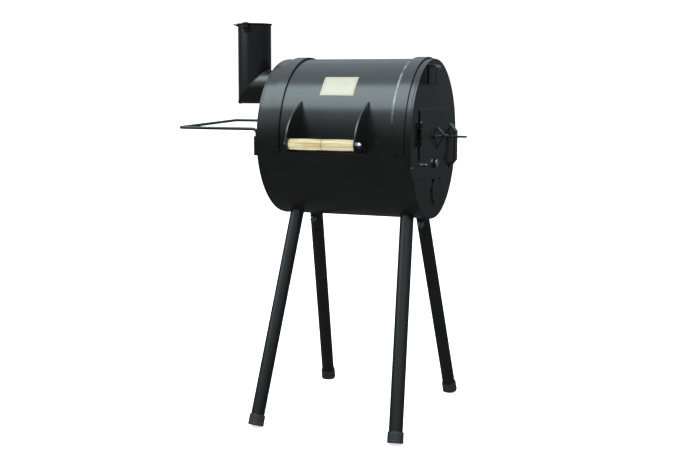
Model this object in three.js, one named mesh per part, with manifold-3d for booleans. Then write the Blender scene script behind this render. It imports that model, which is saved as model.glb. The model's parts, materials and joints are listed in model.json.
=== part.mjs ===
// Barrel smoker on four splayed tube legs, in millimetres, +Z up.
// Every piece is drawn around the barrel's axis: X runs along the barrel, towards the charcoal
// door, Y to the back and Z up. The last lines stand the whole group on the floor.

import * as THREE from 'three';
import { mergeVertices } from 'three/addons/utils/BufferGeometryUtils.js';
import Module from 'manifold-3d';

const wasm = await Module();
wasm.setup();

// ---- Driving dimensions ----

const FIT_GAP = 0.3;            // between pieces that are welded or bolted face to face
const RUN_GAP = 0.5;            // between pieces that slide or turn on each other
const PAST = 1;                 // how far a cutter runs past the face that it opens

const BARREL_RADIUS = 203.2;    // 16 inch pipe
const BARREL_WALL = 4;
const BARREL_LENGTH = 406.4;
const AXIS_HEIGHT = 732;        // barrel axis above the floor
const END_PLATE_THICKNESS = 5;

const LID_LEFT_INSET = 48.2;    // from each end face to the lid's end
const LID_RIGHT_INSET = 31.2;
const LID_FRONT_ANGLE = -8.5;   // degrees above the front horizontal
const LID_REAR_ANGLE = 110;
const LID_GAP = 1.2;
const STRAP_WIDTH = 30;
const STRAP_THICKNESS = 4.5;

const LID_HINGE_OFFSETS = [-105, 122];
const LID_HINGE_STANDOFF = 8;   // hinge axis above the barrel's surface
const LID_HINGE_RADIUS = 6.5;
const LID_HINGE_PIN_RADIUS = 3.5;
const LID_HINGE_HALF_LENGTH = 26;
const LID_HINGE_WEB = 5;
const LID_HINGE_WEB_ANGLE = 6;  // how far each half reaches round the barrel

const FIN_LEFT = -90.5;         // outer faces of the handle brackets
const FIN_RIGHT = 91;
const FIN_THICKNESS = 4.5;
const FIN_TOP_ANGLE = 28;
const FIN_TOP_PULL = new THREE.Vector2(0.48, 0.16);    // shape of the bowed edge, as shares of its span
const FIN_NOSE_PULL = new THREE.Vector2(0.05, 0.5);
const FIN_NOSE_RADIUS = 20;
const HANDLE_STANDOFF = 58.8;   // from the barrel's surface to the handle axis
const HANDLE_DROP = 6.5;        // handle axis below the barrel axis
const HANDLE_ROD_RADIUS = 5;
const GRIP_RADIUS = 13.5;
const GRIP_END_RADIUS = 12;
const GRIP_ROUNDING = 3;
const GRIP_SWELL = 0.3;         // share of a sleeve's length over which it swells
const HANDLE_NUT_WIDTH = 15;
const HANDLE_NUT_HEIGHT = 7;

const NAME_PLATE_LEFT = -43.5;
const NAME_PLATE_RIGHT = 45;
const NAME_PLATE_LOW_ANGLE = 32.7;
const NAME_PLATE_HIGH_ANGLE = 49.5;
const NAME_PLATE_THICKNESS = 0.8;

const FLUE_RADIUS = 44.45;      // 3 inch pipe
const FLUE_WALL = 3;
const FLUE_HEIGHT = 130.5;      // above the barrel axis
const STACK_REACH = 101.3;      // from the end plate's face to the stack's axis
const STACK_RISE = 164;         // from the flue's axis to the stack's mouth
const DAMPER_OVERHANG = 3;      // how far the disc reaches past the stack's wall
const DAMPER_THICKNESS = 3;
const DAMPER_EAR_RADIUS = 10.5;
const DAMPER_PIVOT_GAP = 8.55;  // from the stack's wall to the damper bolt
const DAMPER_TAB_LENGTH = 15.5; // how far the finger tab stands out from the stack's wall
const DAMPER_TAB_WIDTH = 16;
const DAMPER_TAB_RIB = 6;       // depth of the stiffening rib under the tab, at the stack
const DAMPER_PIN_RADIUS = 3;
const DAMPER_HEAD_RADIUS = 6;
const DAMPER_HEAD_HEIGHT = 2;
const DAMPER_LUG_WIDTH = 14;
const DAMPER_LUG_HEIGHT = 22;   // at the stack's wall
const DAMPER_LUG_NOSE = 8;      // at the end away from the stack

const RAIL_ROD_RADIUS = 4;
const RAIL_HALF_WIDTH = 164;
const RAIL_REACH = 242;         // from the end plate's face to the outer bar's axis
const RAIL_FRONT_HEIGHT = 24;
const RAIL_REAR_HEIGHT = 35;    // the rail leans a little to the front
const RAIL_BEND_RADIUS = 12;
const RAIL_LEG_LENGTH = 62;     // from a bar's axis down to the leg's end
const RAIL_SOCKET_WALL = 3;
const RAIL_SOCKET_STANDOFF = 17;    // from the end plate's face to the socket's axis
const RAIL_SOCKET_WEB = 6;
const RAIL_SOCKET_DROP = 18;    // from a bar's axis down to the socket's top
const RAIL_SOCKET_LENGTH = 49;

const LEG_RADIUS = 17.5;        // 35 mm tube
const LEG_WALL = 2.6;
const LEG_TOP_INSET = 51.2;     // from the end face to the top of the leg's axis
const LEG_TOP_Y = 65;
const LEG_TOP_RISE = 5.2;       // the leg's axis ends this far outside the barrel's surface
const LEG_SPLAY_X = 36;         // from the top of the leg's axis out to its foot
const LEG_FOOT_Y = 249;
const LEG_FOOT_LIFT = 4;        // centre of the cap's sole above the floor, before it is cut
const LEG_SOCKET_WALL = 2.6;    // of the spigot inside the tube
const LEG_SOCKET_LENGTH = 62;
const LEG_BOLT_DROP = 24;       // below the top of the leg's axis
const LEG_BOLT_RADIUS = 4;
const LEG_BOLT_HEAD_WIDTH = 13;
const LEG_BOLT_HEAD_HEIGHT = 5.5;
const LEG_NUT_WIDTH = 15;
const LEG_NUT_HEIGHT = 7;
const CAP_WALL = 2.7;
const CAP_HEIGHT = 28;
const CAP_SOLE = 9;

const DOOR_FRONT = -137;
const DOOR_REAR = 128;
const DOOR_BOTTOM = -46;
const DOOR_TOP = 79;
const DOOR_THICKNESS = 3;
const DOOR_OVERLAP = 12;        // how far the door covers the plate round its opening
const DOOR_CORNER_RADIUS = 4;
const DOOR_PIN_RADIUS = 2;
const DOOR_KNUCKLE_RADIUS = 4;
const DOOR_KNUCKLE_LENGTH = 30;
const DOOR_BRACKET_LENGTH = 14;
const DOOR_LEAF_WIDTH = 20;
const DOOR_LEAF_THICKNESS = 2.5;

const BOLT_RADIUS = 4;
const BOLT_HEIGHT = 7;          // bolt axis above the barrel axis
const BOLT_STANDOFF = 4.5;      // bolt axis above the door's face
const BOLT_FRONT = -30;
const BOLT_TIP_GAP = 4;         // between the drawn bolt and its keeper
const BOLT_HANDLE_RADIUS = 3;
const BOLT_HANDLE_REACH = 74.4; // handle tip above the door's face
const YOKE_FRONT = 8;
const YOKE_WIDTH = 12;
const YOKE_BOTTOM = -26;
const YOKE_TOP = 31;
const YOKE_STANDOFF = 17.5;
const YOKE_THICKNESS = 3.75;
const YOKE_NOSE_HEIGHT = 9;     // where its two arms meet
const GUIDE_FRONT = 104;
const GUIDE_WIDTH = 12;
const GUIDE_WALL = 2.5;
const KEEPER_FRONT = 135.5;
const KEEPER_WIDTH = 28.5;
const KEEPER_TOP = 37;
const KEEPER_BOTTOM = -81;
const KEEPER_STANDOFF = 16;
const KEEPER_SLOPE_DROP = 20;   // how far along Z each slanted leg runs
const KEEPER_THICKNESS = 3.4;

const AIR_HOLE_Y = 32;
const AIR_HOLE_RISE = 76.2;     // above the lowest point of the end plate
const AIR_HOLE_RADIUS = 30;
const FLAP_PIVOT_Y = 4;
const FLAP_PIVOT_RISE = 66;     // above the middle of the air hole
const FLAP_DISC_RADIUS = 36;
const FLAP_OPEN_ANGLE = 16;     // how far the disc stands in front of its closed place
const FLAP_THICKNESS = 3;
const FLAP_NECK_WIDTH = 24;
const FLAP_LEVER_THICKNESS = 6;
const FLAP_LEVER_HEIGHT = 28;
const FLAP_LEVER_CORNER = 3;
const FLAP_LEVER_DROP = 26;     // lever axis below the pivot, where the lever starts
const FLAP_LEVER_RISE_ANGLE = 4;
const FLAP_LEVER_OVERHANG = 2.8;    // how far the lever's end stands out past the barrel
const FLAP_BOLT_RADIUS = 4;
const FLAP_BOLT_HEAD_RADIUS = 11;
const FLAP_BOLT_HEAD_HEIGHT = 3;
const STOP_PIN_FRONT = 96;      // in front of the flap's pivot
const STOP_PIN_RISE = 1;        // above it
const STOP_PIN_RADIUS = 3.5;
const STOP_PIN_LENGTH = 7;

const HANGER_FRONT = -67;
const HANGER_WIDTH = 45;
const HANGER_DROP = 16.2;       // its top below the highest point of the end plate
const HANGER_HEIGHT = 50;
const HANGER_STANDOFF = 22;
const HANGER_THICKNESS = 3;
const HANGER_BEND_RADIUS = 10;

const GRATE_THICKNESS = 5;
const GRATE_RIM = 8;
const GRATE_BAR = 5;
const GRATE_END_GAP = 8;        // to each end plate
const COOKING_GRATE_Z = -45;
const FIRE_GRATE_Z = -128;
const GRATE_SIDE_GAP = 5;       // to the barrel's inner wall
const COOKING_GRATE_SLOTS = 18;
const FIRE_GRATE_SLOTS = 14;
const LEDGE_WIDTH = 16;
const LEDGE_THICKNESS = 3;
const LEDGE_LENGTH = 300;

const BARREL_SEGMENTS = 96;
const FLUE_SEGMENTS = 40;
const TUBE_SEGMENTS = 24;
const ROD_SEGMENTS = 12;
const RAIL_SEGMENTS = 8;
const BEND_STEPS = 4;

// Faces that many pieces start from.
const RIGHT_FACE = BARREL_LENGTH / 2;
const LEFT_FACE = -RIGHT_FACE;
const INNER_RADIUS = BARREL_RADIUS - BARREL_WALL;
const INNER_RIGHT = RIGHT_FACE - END_PLATE_THICKNESS;
const INNER_LEFT = -INNER_RIGHT;
const LID_LEFT = LEFT_FACE + LID_LEFT_INSET;
const LID_RIGHT = RIGHT_FACE - LID_RIGHT_INSET;
const HANDLE_REACH = BARREL_RADIUS + HANDLE_STANDOFF;
const STACK_X = LEFT_FACE - STACK_REACH;
const STACK_TOP = FLUE_HEIGHT + STACK_RISE;
const DAMPER_RADIUS = FLUE_RADIUS + DAMPER_OVERHANG;
const RAIL_SOCKET_RADIUS = RAIL_ROD_RADIUS + 2 * RUN_GAP + RAIL_SOCKET_WALL;
const AIR_HOLE_Z = AIR_HOLE_RISE - BARREL_RADIUS;
const FLAP_PIVOT_Z = AIR_HOLE_Z + FLAP_PIVOT_RISE;
const STOP_PIN_Y = FLAP_PIVOT_Y - STOP_PIN_FRONT;
const STOP_PIN_Z = FLAP_PIVOT_Z + STOP_PIN_RISE;
const DOOR_INSIDE = RIGHT_FACE + FIT_GAP;
const DOOR_OUTSIDE = DOOR_INSIDE + DOOR_THICKNESS;
const FINE_STEP = 2 * Math.PI / BARREL_SEGMENTS;

const smoker = new THREE.Group();

// ---- Materials ----

const blackPaint = new THREE.MeshStandardMaterial({ color: 0x1c2022, roughness: 0.4, metalness: 0.1 });
const zincSteel = new THREE.MeshStandardMaterial({ color: 0xb8bbbd, roughness: 0.35, metalness: 1 });
const grateSteel = new THREE.MeshStandardMaterial({ color: 0x6d7072, roughness: 0.5, metalness: 1 });
const turnedWood = new THREE.MeshStandardMaterial({ color: 0xdcc692, roughness: 0.6, metalness: 0 });
const blackRubber = new THREE.MeshStandardMaterial({ color: 0x17191b, roughness: 0.8, metalness: 0 });
const creamEnamel = new THREE.MeshStandardMaterial({ color: 0xeae4c6, roughness: 0.5, metalness: 0 });

// ---- Solids, cuts and joins ----

function toSolid(geometry) {
  const bare = geometry.clone();
  bare.deleteAttribute('normal');
  bare.deleteAttribute('uv');
  const merged = mergeVertices(bare, 1e-4);
  return new wasm.Manifold(new wasm.Mesh({
    numProp: 3,
    vertProperties: new Float32Array(merged.attributes.position.array),
    triVerts: new Uint32Array(merged.index.array),
  }));
}

function toGeometry(solid) {
  const mesh = solid.getMesh();
  const geometry = new THREE.BufferGeometry();
  geometry.setAttribute('position', new THREE.BufferAttribute(mesh.vertProperties, 3));
  geometry.setIndex(new THREE.BufferAttribute(mesh.triVerts, 1));
  geometry.computeVertexNormals();
  return geometry;
}

function cut(geometry, ...cutters) {
  return toGeometry(cutters.reduce((rest, cutter) => rest.subtract(toSolid(cutter)), toSolid(geometry)));
}

function join(geometry, ...others) {
  return toGeometry(others.reduce((whole, other) => whole.add(toSolid(other)), toSolid(geometry)));
}

function addPiece(name, material, geometry, parent = smoker) {
  const mesh = new THREE.Mesh(geometry, material);
  mesh.name = name;
  parent.add(mesh);
  return mesh;
}

// ---- Basic shapes ----

// Points on a circle round the barrel axis: the angle is above the front horizontal.
function onBarrel(radius, degrees) {
  const angle = THREE.MathUtils.degToRad(degrees);
  return new THREE.Vector2(-radius * Math.cos(angle), radius * Math.sin(angle));
}

const Y_Z_X = new THREE.Matrix4().makeBasis(
  new THREE.Vector3(0, 1, 0), new THREE.Vector3(0, 0, 1), new THREE.Vector3(1, 0, 0));
const Z_X_Y = new THREE.Matrix4().makeBasis(
  new THREE.Vector3(0, 0, 1), new THREE.Vector3(1, 0, 0), new THREE.Vector3(0, 1, 0));

function extrude(shape, depth, curveSegments) {
  return new THREE.ExtrudeGeometry(shape, { depth, bevelEnabled: false, curveSegments });
}

// An outline drawn in (Y, Z), made into a plate between two X planes.
function plateAcrossX(shape, fromX, toX, curveSegments = ROD_SEGMENTS) {
  return extrude(shape, toX - fromX, curveSegments).applyMatrix4(Y_Z_X).translate(fromX, 0, 0);
}

// An outline drawn in (Z, X), made into a bar between two Y planes.
function barAcrossY(shape, fromY, toY) {
  return extrude(shape, toY - fromY, ROD_SEGMENTS).applyMatrix4(Z_X_Y).translate(0, fromY, 0);
}

function box(lowX, highX, lowY, highY, lowZ, highZ) {
  return new THREE.BoxGeometry(highX - lowX, highY - lowY, highZ - lowZ)
    .translate((lowX + highX) / 2, (lowY + highY) / 2, (lowZ + highZ) / 2);
}

function roundBar(radius, fromZ, toZ, segments = TUBE_SEGMENTS) {
  return new THREE.CylinderGeometry(radius, radius, toZ - fromZ, segments)
    .rotateX(Math.PI / 2).translate(0, 0, (fromZ + toZ) / 2);
}

function roundBarAlongX(radius, fromX, toX, y, z, segments = TUBE_SEGMENTS) {
  return roundBar(radius, fromX, toX, segments).applyMatrix4(Y_Z_X).translate(0, y, z);
}

function roundBarAlongY(radius, fromY, toY, x, z, segments = TUBE_SEGMENTS) {
  return roundBar(radius, fromY, toY, segments).applyMatrix4(Z_X_Y).translate(x, 0, z);
}

// A turned piece on the Z axis, from (radius, z) points: an outline that starts and ends on the
// axis is open there, and any other one closes on itself.
function turned(points, segments) {
  const onAxis = points[0][0] === 0;
  const outline = onAxis ? points : [...points, points[0]];
  const profile = outline.map(([radius, z]) => new THREE.Vector2(radius, z));
  return new THREE.LatheGeometry(profile, segments).rotateX(Math.PI / 2);
}

function pipe(outer, inner, fromZ, toZ, segments = TUBE_SEGMENTS) {
  return turned([[inner, fromZ], [outer, fromZ], [outer, toZ], [inner, toZ]], segments);
}

function hexPrism(acrossFlats, fromZ, toZ) {
  return roundBar(acrossFlats / Math.sqrt(3), fromZ, toZ, 6);
}

function rectangle(low, high, bottom, top) {
  return new THREE.Shape([
    new THREE.Vector2(low, bottom),
    new THREE.Vector2(high, bottom),
    new THREE.Vector2(high, top),
    new THREE.Vector2(low, top),
  ]);
}

function roundedRectangle(low, high, bottom, top, radius) {
  const shape = new THREE.Shape();
  shape.moveTo(low + radius, bottom);
  shape.lineTo(high - radius, bottom);
  shape.absarc(high - radius, bottom + radius, radius, -Math.PI / 2, 0);
  shape.lineTo(high, top - radius);
  shape.absarc(high - radius, top - radius, radius, 0, Math.PI / 2);
  shape.lineTo(low + radius, top);
  shape.absarc(low + radius, top - radius, radius, Math.PI / 2, Math.PI);
  shape.lineTo(low, bottom + radius);
  shape.absarc(low + radius, bottom + radius, radius, Math.PI, 1.5 * Math.PI);
  return shape;
}

// Part of a ring round the barrel axis, between two angles above the front horizontal.
function ringSector(inner, outer, lowDegrees, highDegrees) {
  const from = Math.PI - THREE.MathUtils.degToRad(lowDegrees);
  const to = Math.PI - THREE.MathUtils.degToRad(highDegrees);
  const steps = Math.max(2, Math.ceil(Math.abs(from - to) / FINE_STEP));
  const points = [];
  for (let i = 0; i <= steps; i += 1) {
    const angle = from + (to - from) * i / steps;
    points.push(new THREE.Vector2(Math.cos(angle), Math.sin(angle)));
  }
  const outline = points.map((p) => p.clone().multiplyScalar(outer));
  const back = points.map((p) => p.clone().multiplyScalar(inner)).reverse();
  return new THREE.Shape([...outline, ...back]);
}

function curvedPlate(inner, outer, lowDegrees, highDegrees, fromX, toX) {
  return plateAcrossX(ringSector(inner, outer, lowDegrees, highDegrees), fromX, toX);
}

// ---- Cooking chamber ----

function addBarrel() {
  const halfLength = INNER_RIGHT - FIT_GAP;
  const shell = pipe(BARREL_RADIUS, INNER_RADIUS, -halfLength, halfLength, BARREL_SEGMENTS)
    .applyMatrix4(Y_Z_X);
  const mouth = curvedPlate(INNER_RADIUS - PAST, BARREL_RADIUS + PAST,
    LID_FRONT_ANGLE, LID_REAR_ANGLE, LID_LEFT - LID_GAP, LID_RIGHT + LID_GAP);
  addPiece('barrel_shell', blackPaint, cut(shell, mouth));
}

function addEndPlates() {
  const disc = (fromX, toX) => roundBarAlongX(BARREL_RADIUS, fromX, toX, 0, 0, BARREL_SEGMENTS);
  const flueHole = roundBarAlongX(FLUE_RADIUS - FLUE_WALL, LEFT_FACE - PAST, INNER_LEFT + PAST,
    0, FLUE_HEIGHT, FLUE_SEGMENTS);
  addPiece('end_plate_left', blackPaint, cut(disc(LEFT_FACE, INNER_LEFT), flueHole));

  const doorway = plateAcrossX(rectangle(DOOR_FRONT + DOOR_OVERLAP, DOOR_REAR - DOOR_OVERLAP,
    DOOR_BOTTOM + DOOR_OVERLAP, DOOR_TOP - DOOR_OVERLAP), INNER_RIGHT - PAST, RIGHT_FACE + PAST);
  const airHole = roundBarAlongX(AIR_HOLE_RADIUS, INNER_RIGHT - PAST, RIGHT_FACE + PAST,
    AIR_HOLE_Y, AIR_HOLE_Z, FLUE_SEGMENTS);
  const pivotHole = roundBarAlongX(FLAP_BOLT_RADIUS + FIT_GAP, INNER_RIGHT - PAST, RIGHT_FACE + PAST,
    FLAP_PIVOT_Y, FLAP_PIVOT_Z, ROD_SEGMENTS);
  addPiece('end_plate_right', blackPaint,
    cut(disc(INNER_RIGHT, RIGHT_FACE), doorway, airHole, pivotHole));
}

// A lift-out grate: a flat frame with cross bars, as wide as the barrel is at its height.
function addGrate(name, z, slots) {
  const halfWidth = Math.sqrt(INNER_RADIUS ** 2 - z ** 2) - GRATE_SIDE_GAP;
  const halfLength = INNER_RIGHT - GRATE_END_GAP;
  const plate = box(-halfLength, halfLength, -halfWidth, halfWidth, z, z + GRATE_THICKNESS);
  const pitch = (2 * (halfLength - GRATE_RIM) + GRATE_BAR) / slots;
  const openings = [];
  for (let i = 0; i < slots; i += 1) {
    const start = -halfLength + GRATE_RIM + i * pitch;
    openings.push(box(start, start + pitch - GRATE_BAR, -halfWidth + GRATE_RIM, halfWidth - GRATE_RIM,
      z - PAST, z + GRATE_THICKNESS + PAST));
  }
  addPiece(name, grateSteel, cut(plate, ...openings));
}

// Flat ledges on the barrel's inner wall carry the cooking grate; their backs follow the wall.
function addLedges() {
  const top = COOKING_GRATE_Z - FIT_GAP;
  const wall = Math.sqrt(INNER_RADIUS ** 2 - COOKING_GRATE_Z ** 2);
  const room = roundBarAlongX(INNER_RADIUS - FIT_GAP, -LEDGE_LENGTH, LEDGE_LENGTH, 0, 0, BARREL_SEGMENTS);
  for (const [name, side] of [['grate_ledge_front', -1], ['grate_ledge_rear', 1]]) {
    const inner = side * (wall - LEDGE_WIDTH);
    const outer = side * (wall + PAST);
    const bar = box(-LEDGE_LENGTH / 2, LEDGE_LENGTH / 2, Math.min(inner, outer), Math.max(inner, outer),
      top - LEDGE_THICKNESS, top);
    addPiece(name, blackPaint, toGeometry(toSolid(bar).intersect(toSolid(room))));
  }
}

// ---- Chimney ----

// Each pipe is cut on the 45 degree plane through the corner where the two axes meet.
function mitreCutter(side) {
  const size = 8 * FLUE_RADIUS;
  return new THREE.BoxGeometry(size, size, size)
    .translate(0, 0, side * (size / 2 - FIT_GAP / 2))
    .rotateY(-Math.PI / 4)
    .translate(STACK_X, 0, FLUE_HEIGHT);
}

function addChimney() {
  const inner = FLUE_RADIUS - FLUE_WALL;
  const elbow = pipe(FLUE_RADIUS, inner, STACK_X - 2 * FLUE_RADIUS, LEFT_FACE - FIT_GAP, FLUE_SEGMENTS)
    .applyMatrix4(Y_Z_X).translate(0, 0, FLUE_HEIGHT);
  const stack = pipe(FLUE_RADIUS, inner, FLUE_HEIGHT - 2 * FLUE_RADIUS, STACK_TOP, FLUE_SEGMENTS)
    .translate(STACK_X, 0, 0);
  addPiece('chimney_elbow', blackPaint, cut(elbow, mitreCutter(1)));
  addPiece('chimney_stack', blackPaint, cut(stack, mitreCutter(-1)));
}

// Drawn round the stack's axis: a bolt on a lug at the front carries the disc, and a finger tab
// with a rib under it stands out to the left.
function addDamper() {
  const wall = FLUE_RADIUS + FIT_GAP;
  const pivotY = -FLUE_RADIUS - DAMPER_PIVOT_GAP;
  const lugEnd = pivotY - DAMPER_LUG_NOSE / 2;
  const lug = plateAcrossX(new THREE.Shape([
    new THREE.Vector2(0, STACK_TOP),
    new THREE.Vector2(0, STACK_TOP - DAMPER_LUG_HEIGHT),
    new THREE.Vector2(-FLUE_RADIUS, STACK_TOP - DAMPER_LUG_HEIGHT),
    new THREE.Vector2(lugEnd, STACK_TOP - DAMPER_LUG_NOSE),
    new THREE.Vector2(lugEnd, STACK_TOP),
  ]), -DAMPER_LUG_WIDTH / 2, DAMPER_LUG_WIDTH / 2);
  const pinHole = roundBar(DAMPER_PIN_RADIUS + FIT_GAP, 0, STACK_TOP + PAST, ROD_SEGMENTS)
    .translate(0, pivotY, 0);
  const room = roundBar(wall, 0, STACK_TOP + PAST, FLUE_SEGMENTS);
  addPiece('damper_lug', blackPaint, cut(lug, room, pinHole).translate(STACK_X, 0, 0));

  const bottom = STACK_TOP + RUN_GAP;
  const top = bottom + DAMPER_THICKNESS;
  const ear = roundBar(DAMPER_EAR_RADIUS, bottom, top).translate(0, pivotY, 0);
  const neck = box(-DAMPER_EAR_RADIUS, DAMPER_EAR_RADIUS, pivotY, 0, bottom, top);
  const tabEnd = -FLUE_RADIUS - DAMPER_TAB_LENGTH;
  const tab = box(tabEnd, 0, -DAMPER_TAB_WIDTH / 2, DAMPER_TAB_WIDTH / 2, bottom, top);
  const rib = barAcrossY(new THREE.Shape([
    new THREE.Vector2(bottom - DAMPER_TAB_RIB, -wall - RUN_GAP),
    new THREE.Vector2(bottom + PAST, tabEnd),
    new THREE.Vector2(bottom + PAST, -wall - RUN_GAP),
  ]), -DAMPER_THICKNESS / 2, DAMPER_THICKNESS / 2);
  const earHole = roundBar(DAMPER_PIN_RADIUS + RUN_GAP, bottom - PAST, top + PAST, ROD_SEGMENTS)
    .translate(0, pivotY, 0);
  const disc = join(roundBar(DAMPER_RADIUS, bottom, top, FLUE_SEGMENTS), ear, neck, tab, rib);
  addPiece('damper_disc', blackPaint, cut(disc, earHole).translate(STACK_X, 0, 0));

  const headBottom = top + RUN_GAP;
  const shank = roundBar(DAMPER_PIN_RADIUS, STACK_TOP - DAMPER_LUG_NOSE, headBottom + PAST, ROD_SEGMENTS);
  const head = roundBar(DAMPER_HEAD_RADIUS, headBottom, headBottom + DAMPER_HEAD_HEIGHT, ROD_SEGMENTS);
  addPiece('damper_bolt', zincSteel, join(head, shank).translate(STACK_X, pivotY, 0));
}

// ---- Lid ----

function addLidShell() {
  const edge = THREE.MathUtils.radToDeg(LID_GAP / BARREL_RADIUS);
  addPiece('lid_shell', blackPaint, curvedPlate(INNER_RADIUS, BARREL_RADIUS,
    LID_FRONT_ANGLE + edge, LID_REAR_ANGLE - edge, LID_LEFT, LID_RIGHT));
  const inner = BARREL_RADIUS + FIT_GAP;
  for (const [name, seam] of [['lid_strap_left', LID_LEFT], ['lid_strap_right', LID_RIGHT]]) {
    addPiece(name, blackPaint, curvedPlate(inner, inner + STRAP_THICKNESS,
      LID_FRONT_ANGLE + edge, LID_REAR_ANGLE - edge, seam - STRAP_WIDTH / 2, seam + STRAP_WIDTH / 2));
  }
  addPiece('name_plate', creamEnamel, curvedPlate(inner, inner + NAME_PLATE_THICKNESS,
    NAME_PLATE_LOW_ANGLE, NAME_PLATE_HIGH_ANGLE, NAME_PLATE_LEFT, NAME_PLATE_RIGHT));
}

// Fin-shaped bracket, drawn in (Y, Z): a bowed front edge from the lid down to a round nose
// round the handle, and back along the lid's lower edge.
function finOutline() {
  const surface = BARREL_RADIUS + FIT_GAP;
  const top = onBarrel(surface, FIN_TOP_ANGLE);
  const nose = new THREE.Vector2(-HANDLE_REACH, -HANDLE_DROP);
  const front = nose.x - FIN_NOSE_RADIUS;
  const shape = new THREE.Shape();
  shape.moveTo(top.x, top.y);
  const span = new THREE.Vector2(top.x - front, top.y - nose.y);
  shape.bezierCurveTo(
    top.x - FIN_TOP_PULL.x * span.x, top.y - FIN_TOP_PULL.y * span.y,
    front + FIN_NOSE_PULL.x * span.x, nose.y + FIN_NOSE_PULL.y * span.y,
    front, nose.y);
  shape.absarc(nose.x, nose.y, FIN_NOSE_RADIUS, Math.PI, 1.5 * Math.PI);
  const steps = Math.ceil(THREE.MathUtils.degToRad(FIN_TOP_ANGLE - LID_FRONT_ANGLE) / FINE_STEP);
  for (let i = 0; i < steps; i += 1) {
    const point = onBarrel(surface, LID_FRONT_ANGLE + (FIN_TOP_ANGLE - LID_FRONT_ANGLE) * i / steps);
    shape.lineTo(point.x, point.y);
  }
  return shape;
}

function addHandle() {
  const y = -HANDLE_REACH;
  const z = -HANDLE_DROP;
  const fins = [['handle_bracket_left', FIN_LEFT], ['handle_bracket_right', FIN_RIGHT - FIN_THICKNESS]];
  for (const [name, x] of fins) {
    const hole = roundBarAlongX(HANDLE_ROD_RADIUS + FIT_GAP, x - PAST, x + FIN_THICKNESS + PAST, y, z);
    addPiece(name, blackPaint, cut(plateAcrossX(finOutline(), x, x + FIN_THICKNESS), hole));
  }

  const rodEnd = HANDLE_NUT_HEIGHT + FIT_GAP;
  addPiece('handle_rod', zincSteel,
    roundBarAlongX(HANDLE_ROD_RADIUS, FIN_LEFT - rodEnd, FIN_RIGHT + rodEnd, y, z));
  const nuts = [
    ['handle_nut_left', FIN_LEFT - FIT_GAP - HANDLE_NUT_HEIGHT],
    ['handle_nut_right', FIN_RIGHT + FIT_GAP],
  ];
  for (const [name, x] of nuts) {
    const nut = hexPrism(HANDLE_NUT_WIDTH, x, x + HANDLE_NUT_HEIGHT).applyMatrix4(Y_Z_X).translate(0, y, z);
    const bore = roundBarAlongX(HANDLE_ROD_RADIUS + FIT_GAP, x - PAST, x + HANDLE_NUT_HEIGHT + PAST, y, z);
    addPiece(name, zincSteel, cut(nut, bore));
  }

  const gripStart = FIN_LEFT + FIN_THICKNESS + FIT_GAP;
  const gripLength = (FIN_RIGHT - FIN_LEFT - 2 * FIN_THICKNESS - 3 * FIT_GAP) / 2;
  const bore = HANDLE_ROD_RADIUS + FIT_GAP;
  const swell = gripLength * GRIP_SWELL;
  const endRadius = GRIP_END_RADIUS - GRIP_ROUNDING / 2;
  const profile = [
    [bore, 0], [endRadius, 0], [GRIP_END_RADIUS, GRIP_ROUNDING],
    [GRIP_RADIUS, swell], [GRIP_RADIUS, gripLength - swell],
    [GRIP_END_RADIUS, gripLength - GRIP_ROUNDING], [endRadius, gripLength], [bore, gripLength],
  ];
  const grips = [['handle_grip_left', gripStart], ['handle_grip_right', gripStart + gripLength + FIT_GAP]];
  for (const [name, start] of grips) {
    addPiece(name, turnedWood,
      turned(profile, TUBE_SEGMENTS).applyMatrix4(Y_Z_X).translate(start, y, z));
  }
}

// Weld-on hinges: the half on the barrel holds the pin, and the lid's half turns on it.
function addLidHinges() {
  const standoff = BARREL_RADIUS + LID_HINGE_STANDOFF;
  const axis = onBarrel(standoff, LID_REAR_ANGLE);
  const seam = THREE.MathUtils.radToDeg(RUN_GAP / BARREL_RADIUS);
  const names = ['left', 'right'];
  LID_HINGE_OFFSETS.forEach((x, i) => {
    const half = (fromX, toX, forward, bore) => {
      const barrel = roundBarAlongX(LID_HINGE_RADIUS, fromX, toX, axis.x, axis.y);
      const webRadius = BARREL_RADIUS + FIT_GAP;
      const low = LID_REAR_ANGLE + (forward ? -LID_HINGE_WEB_ANGLE : seam);
      const high = LID_REAR_ANGLE + (forward ? -seam : LID_HINGE_WEB_ANGLE);
      const web = curvedPlate(webRadius, webRadius + LID_HINGE_WEB, low, high, fromX, toX);
      return bore ? cut(join(barrel, web), bore) : join(barrel, web);
    };
    const bore = roundBarAlongX(LID_HINGE_PIN_RADIUS + RUN_GAP, x + FIT_GAP - PAST,
      x + LID_HINGE_HALF_LENGTH + PAST, axis.x, axis.y, ROD_SEGMENTS);
    const pin = roundBarAlongX(LID_HINGE_PIN_RADIUS, x - LID_HINGE_HALF_LENGTH / 2,
      x + LID_HINGE_HALF_LENGTH - PAST, axis.x, axis.y, ROD_SEGMENTS);
    addPiece(`lid_hinge_fixed_${names[i]}`, blackPaint,
      join(half(x - LID_HINGE_HALF_LENGTH, x, false), pin));
    addPiece(`lid_hinge_moving_${names[i]}`, blackPaint,
      half(x + RUN_GAP, x + LID_HINGE_HALF_LENGTH, true, bore));
  });
}

// ---- Right end: door, bolt, air flap, hanger ----

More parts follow.
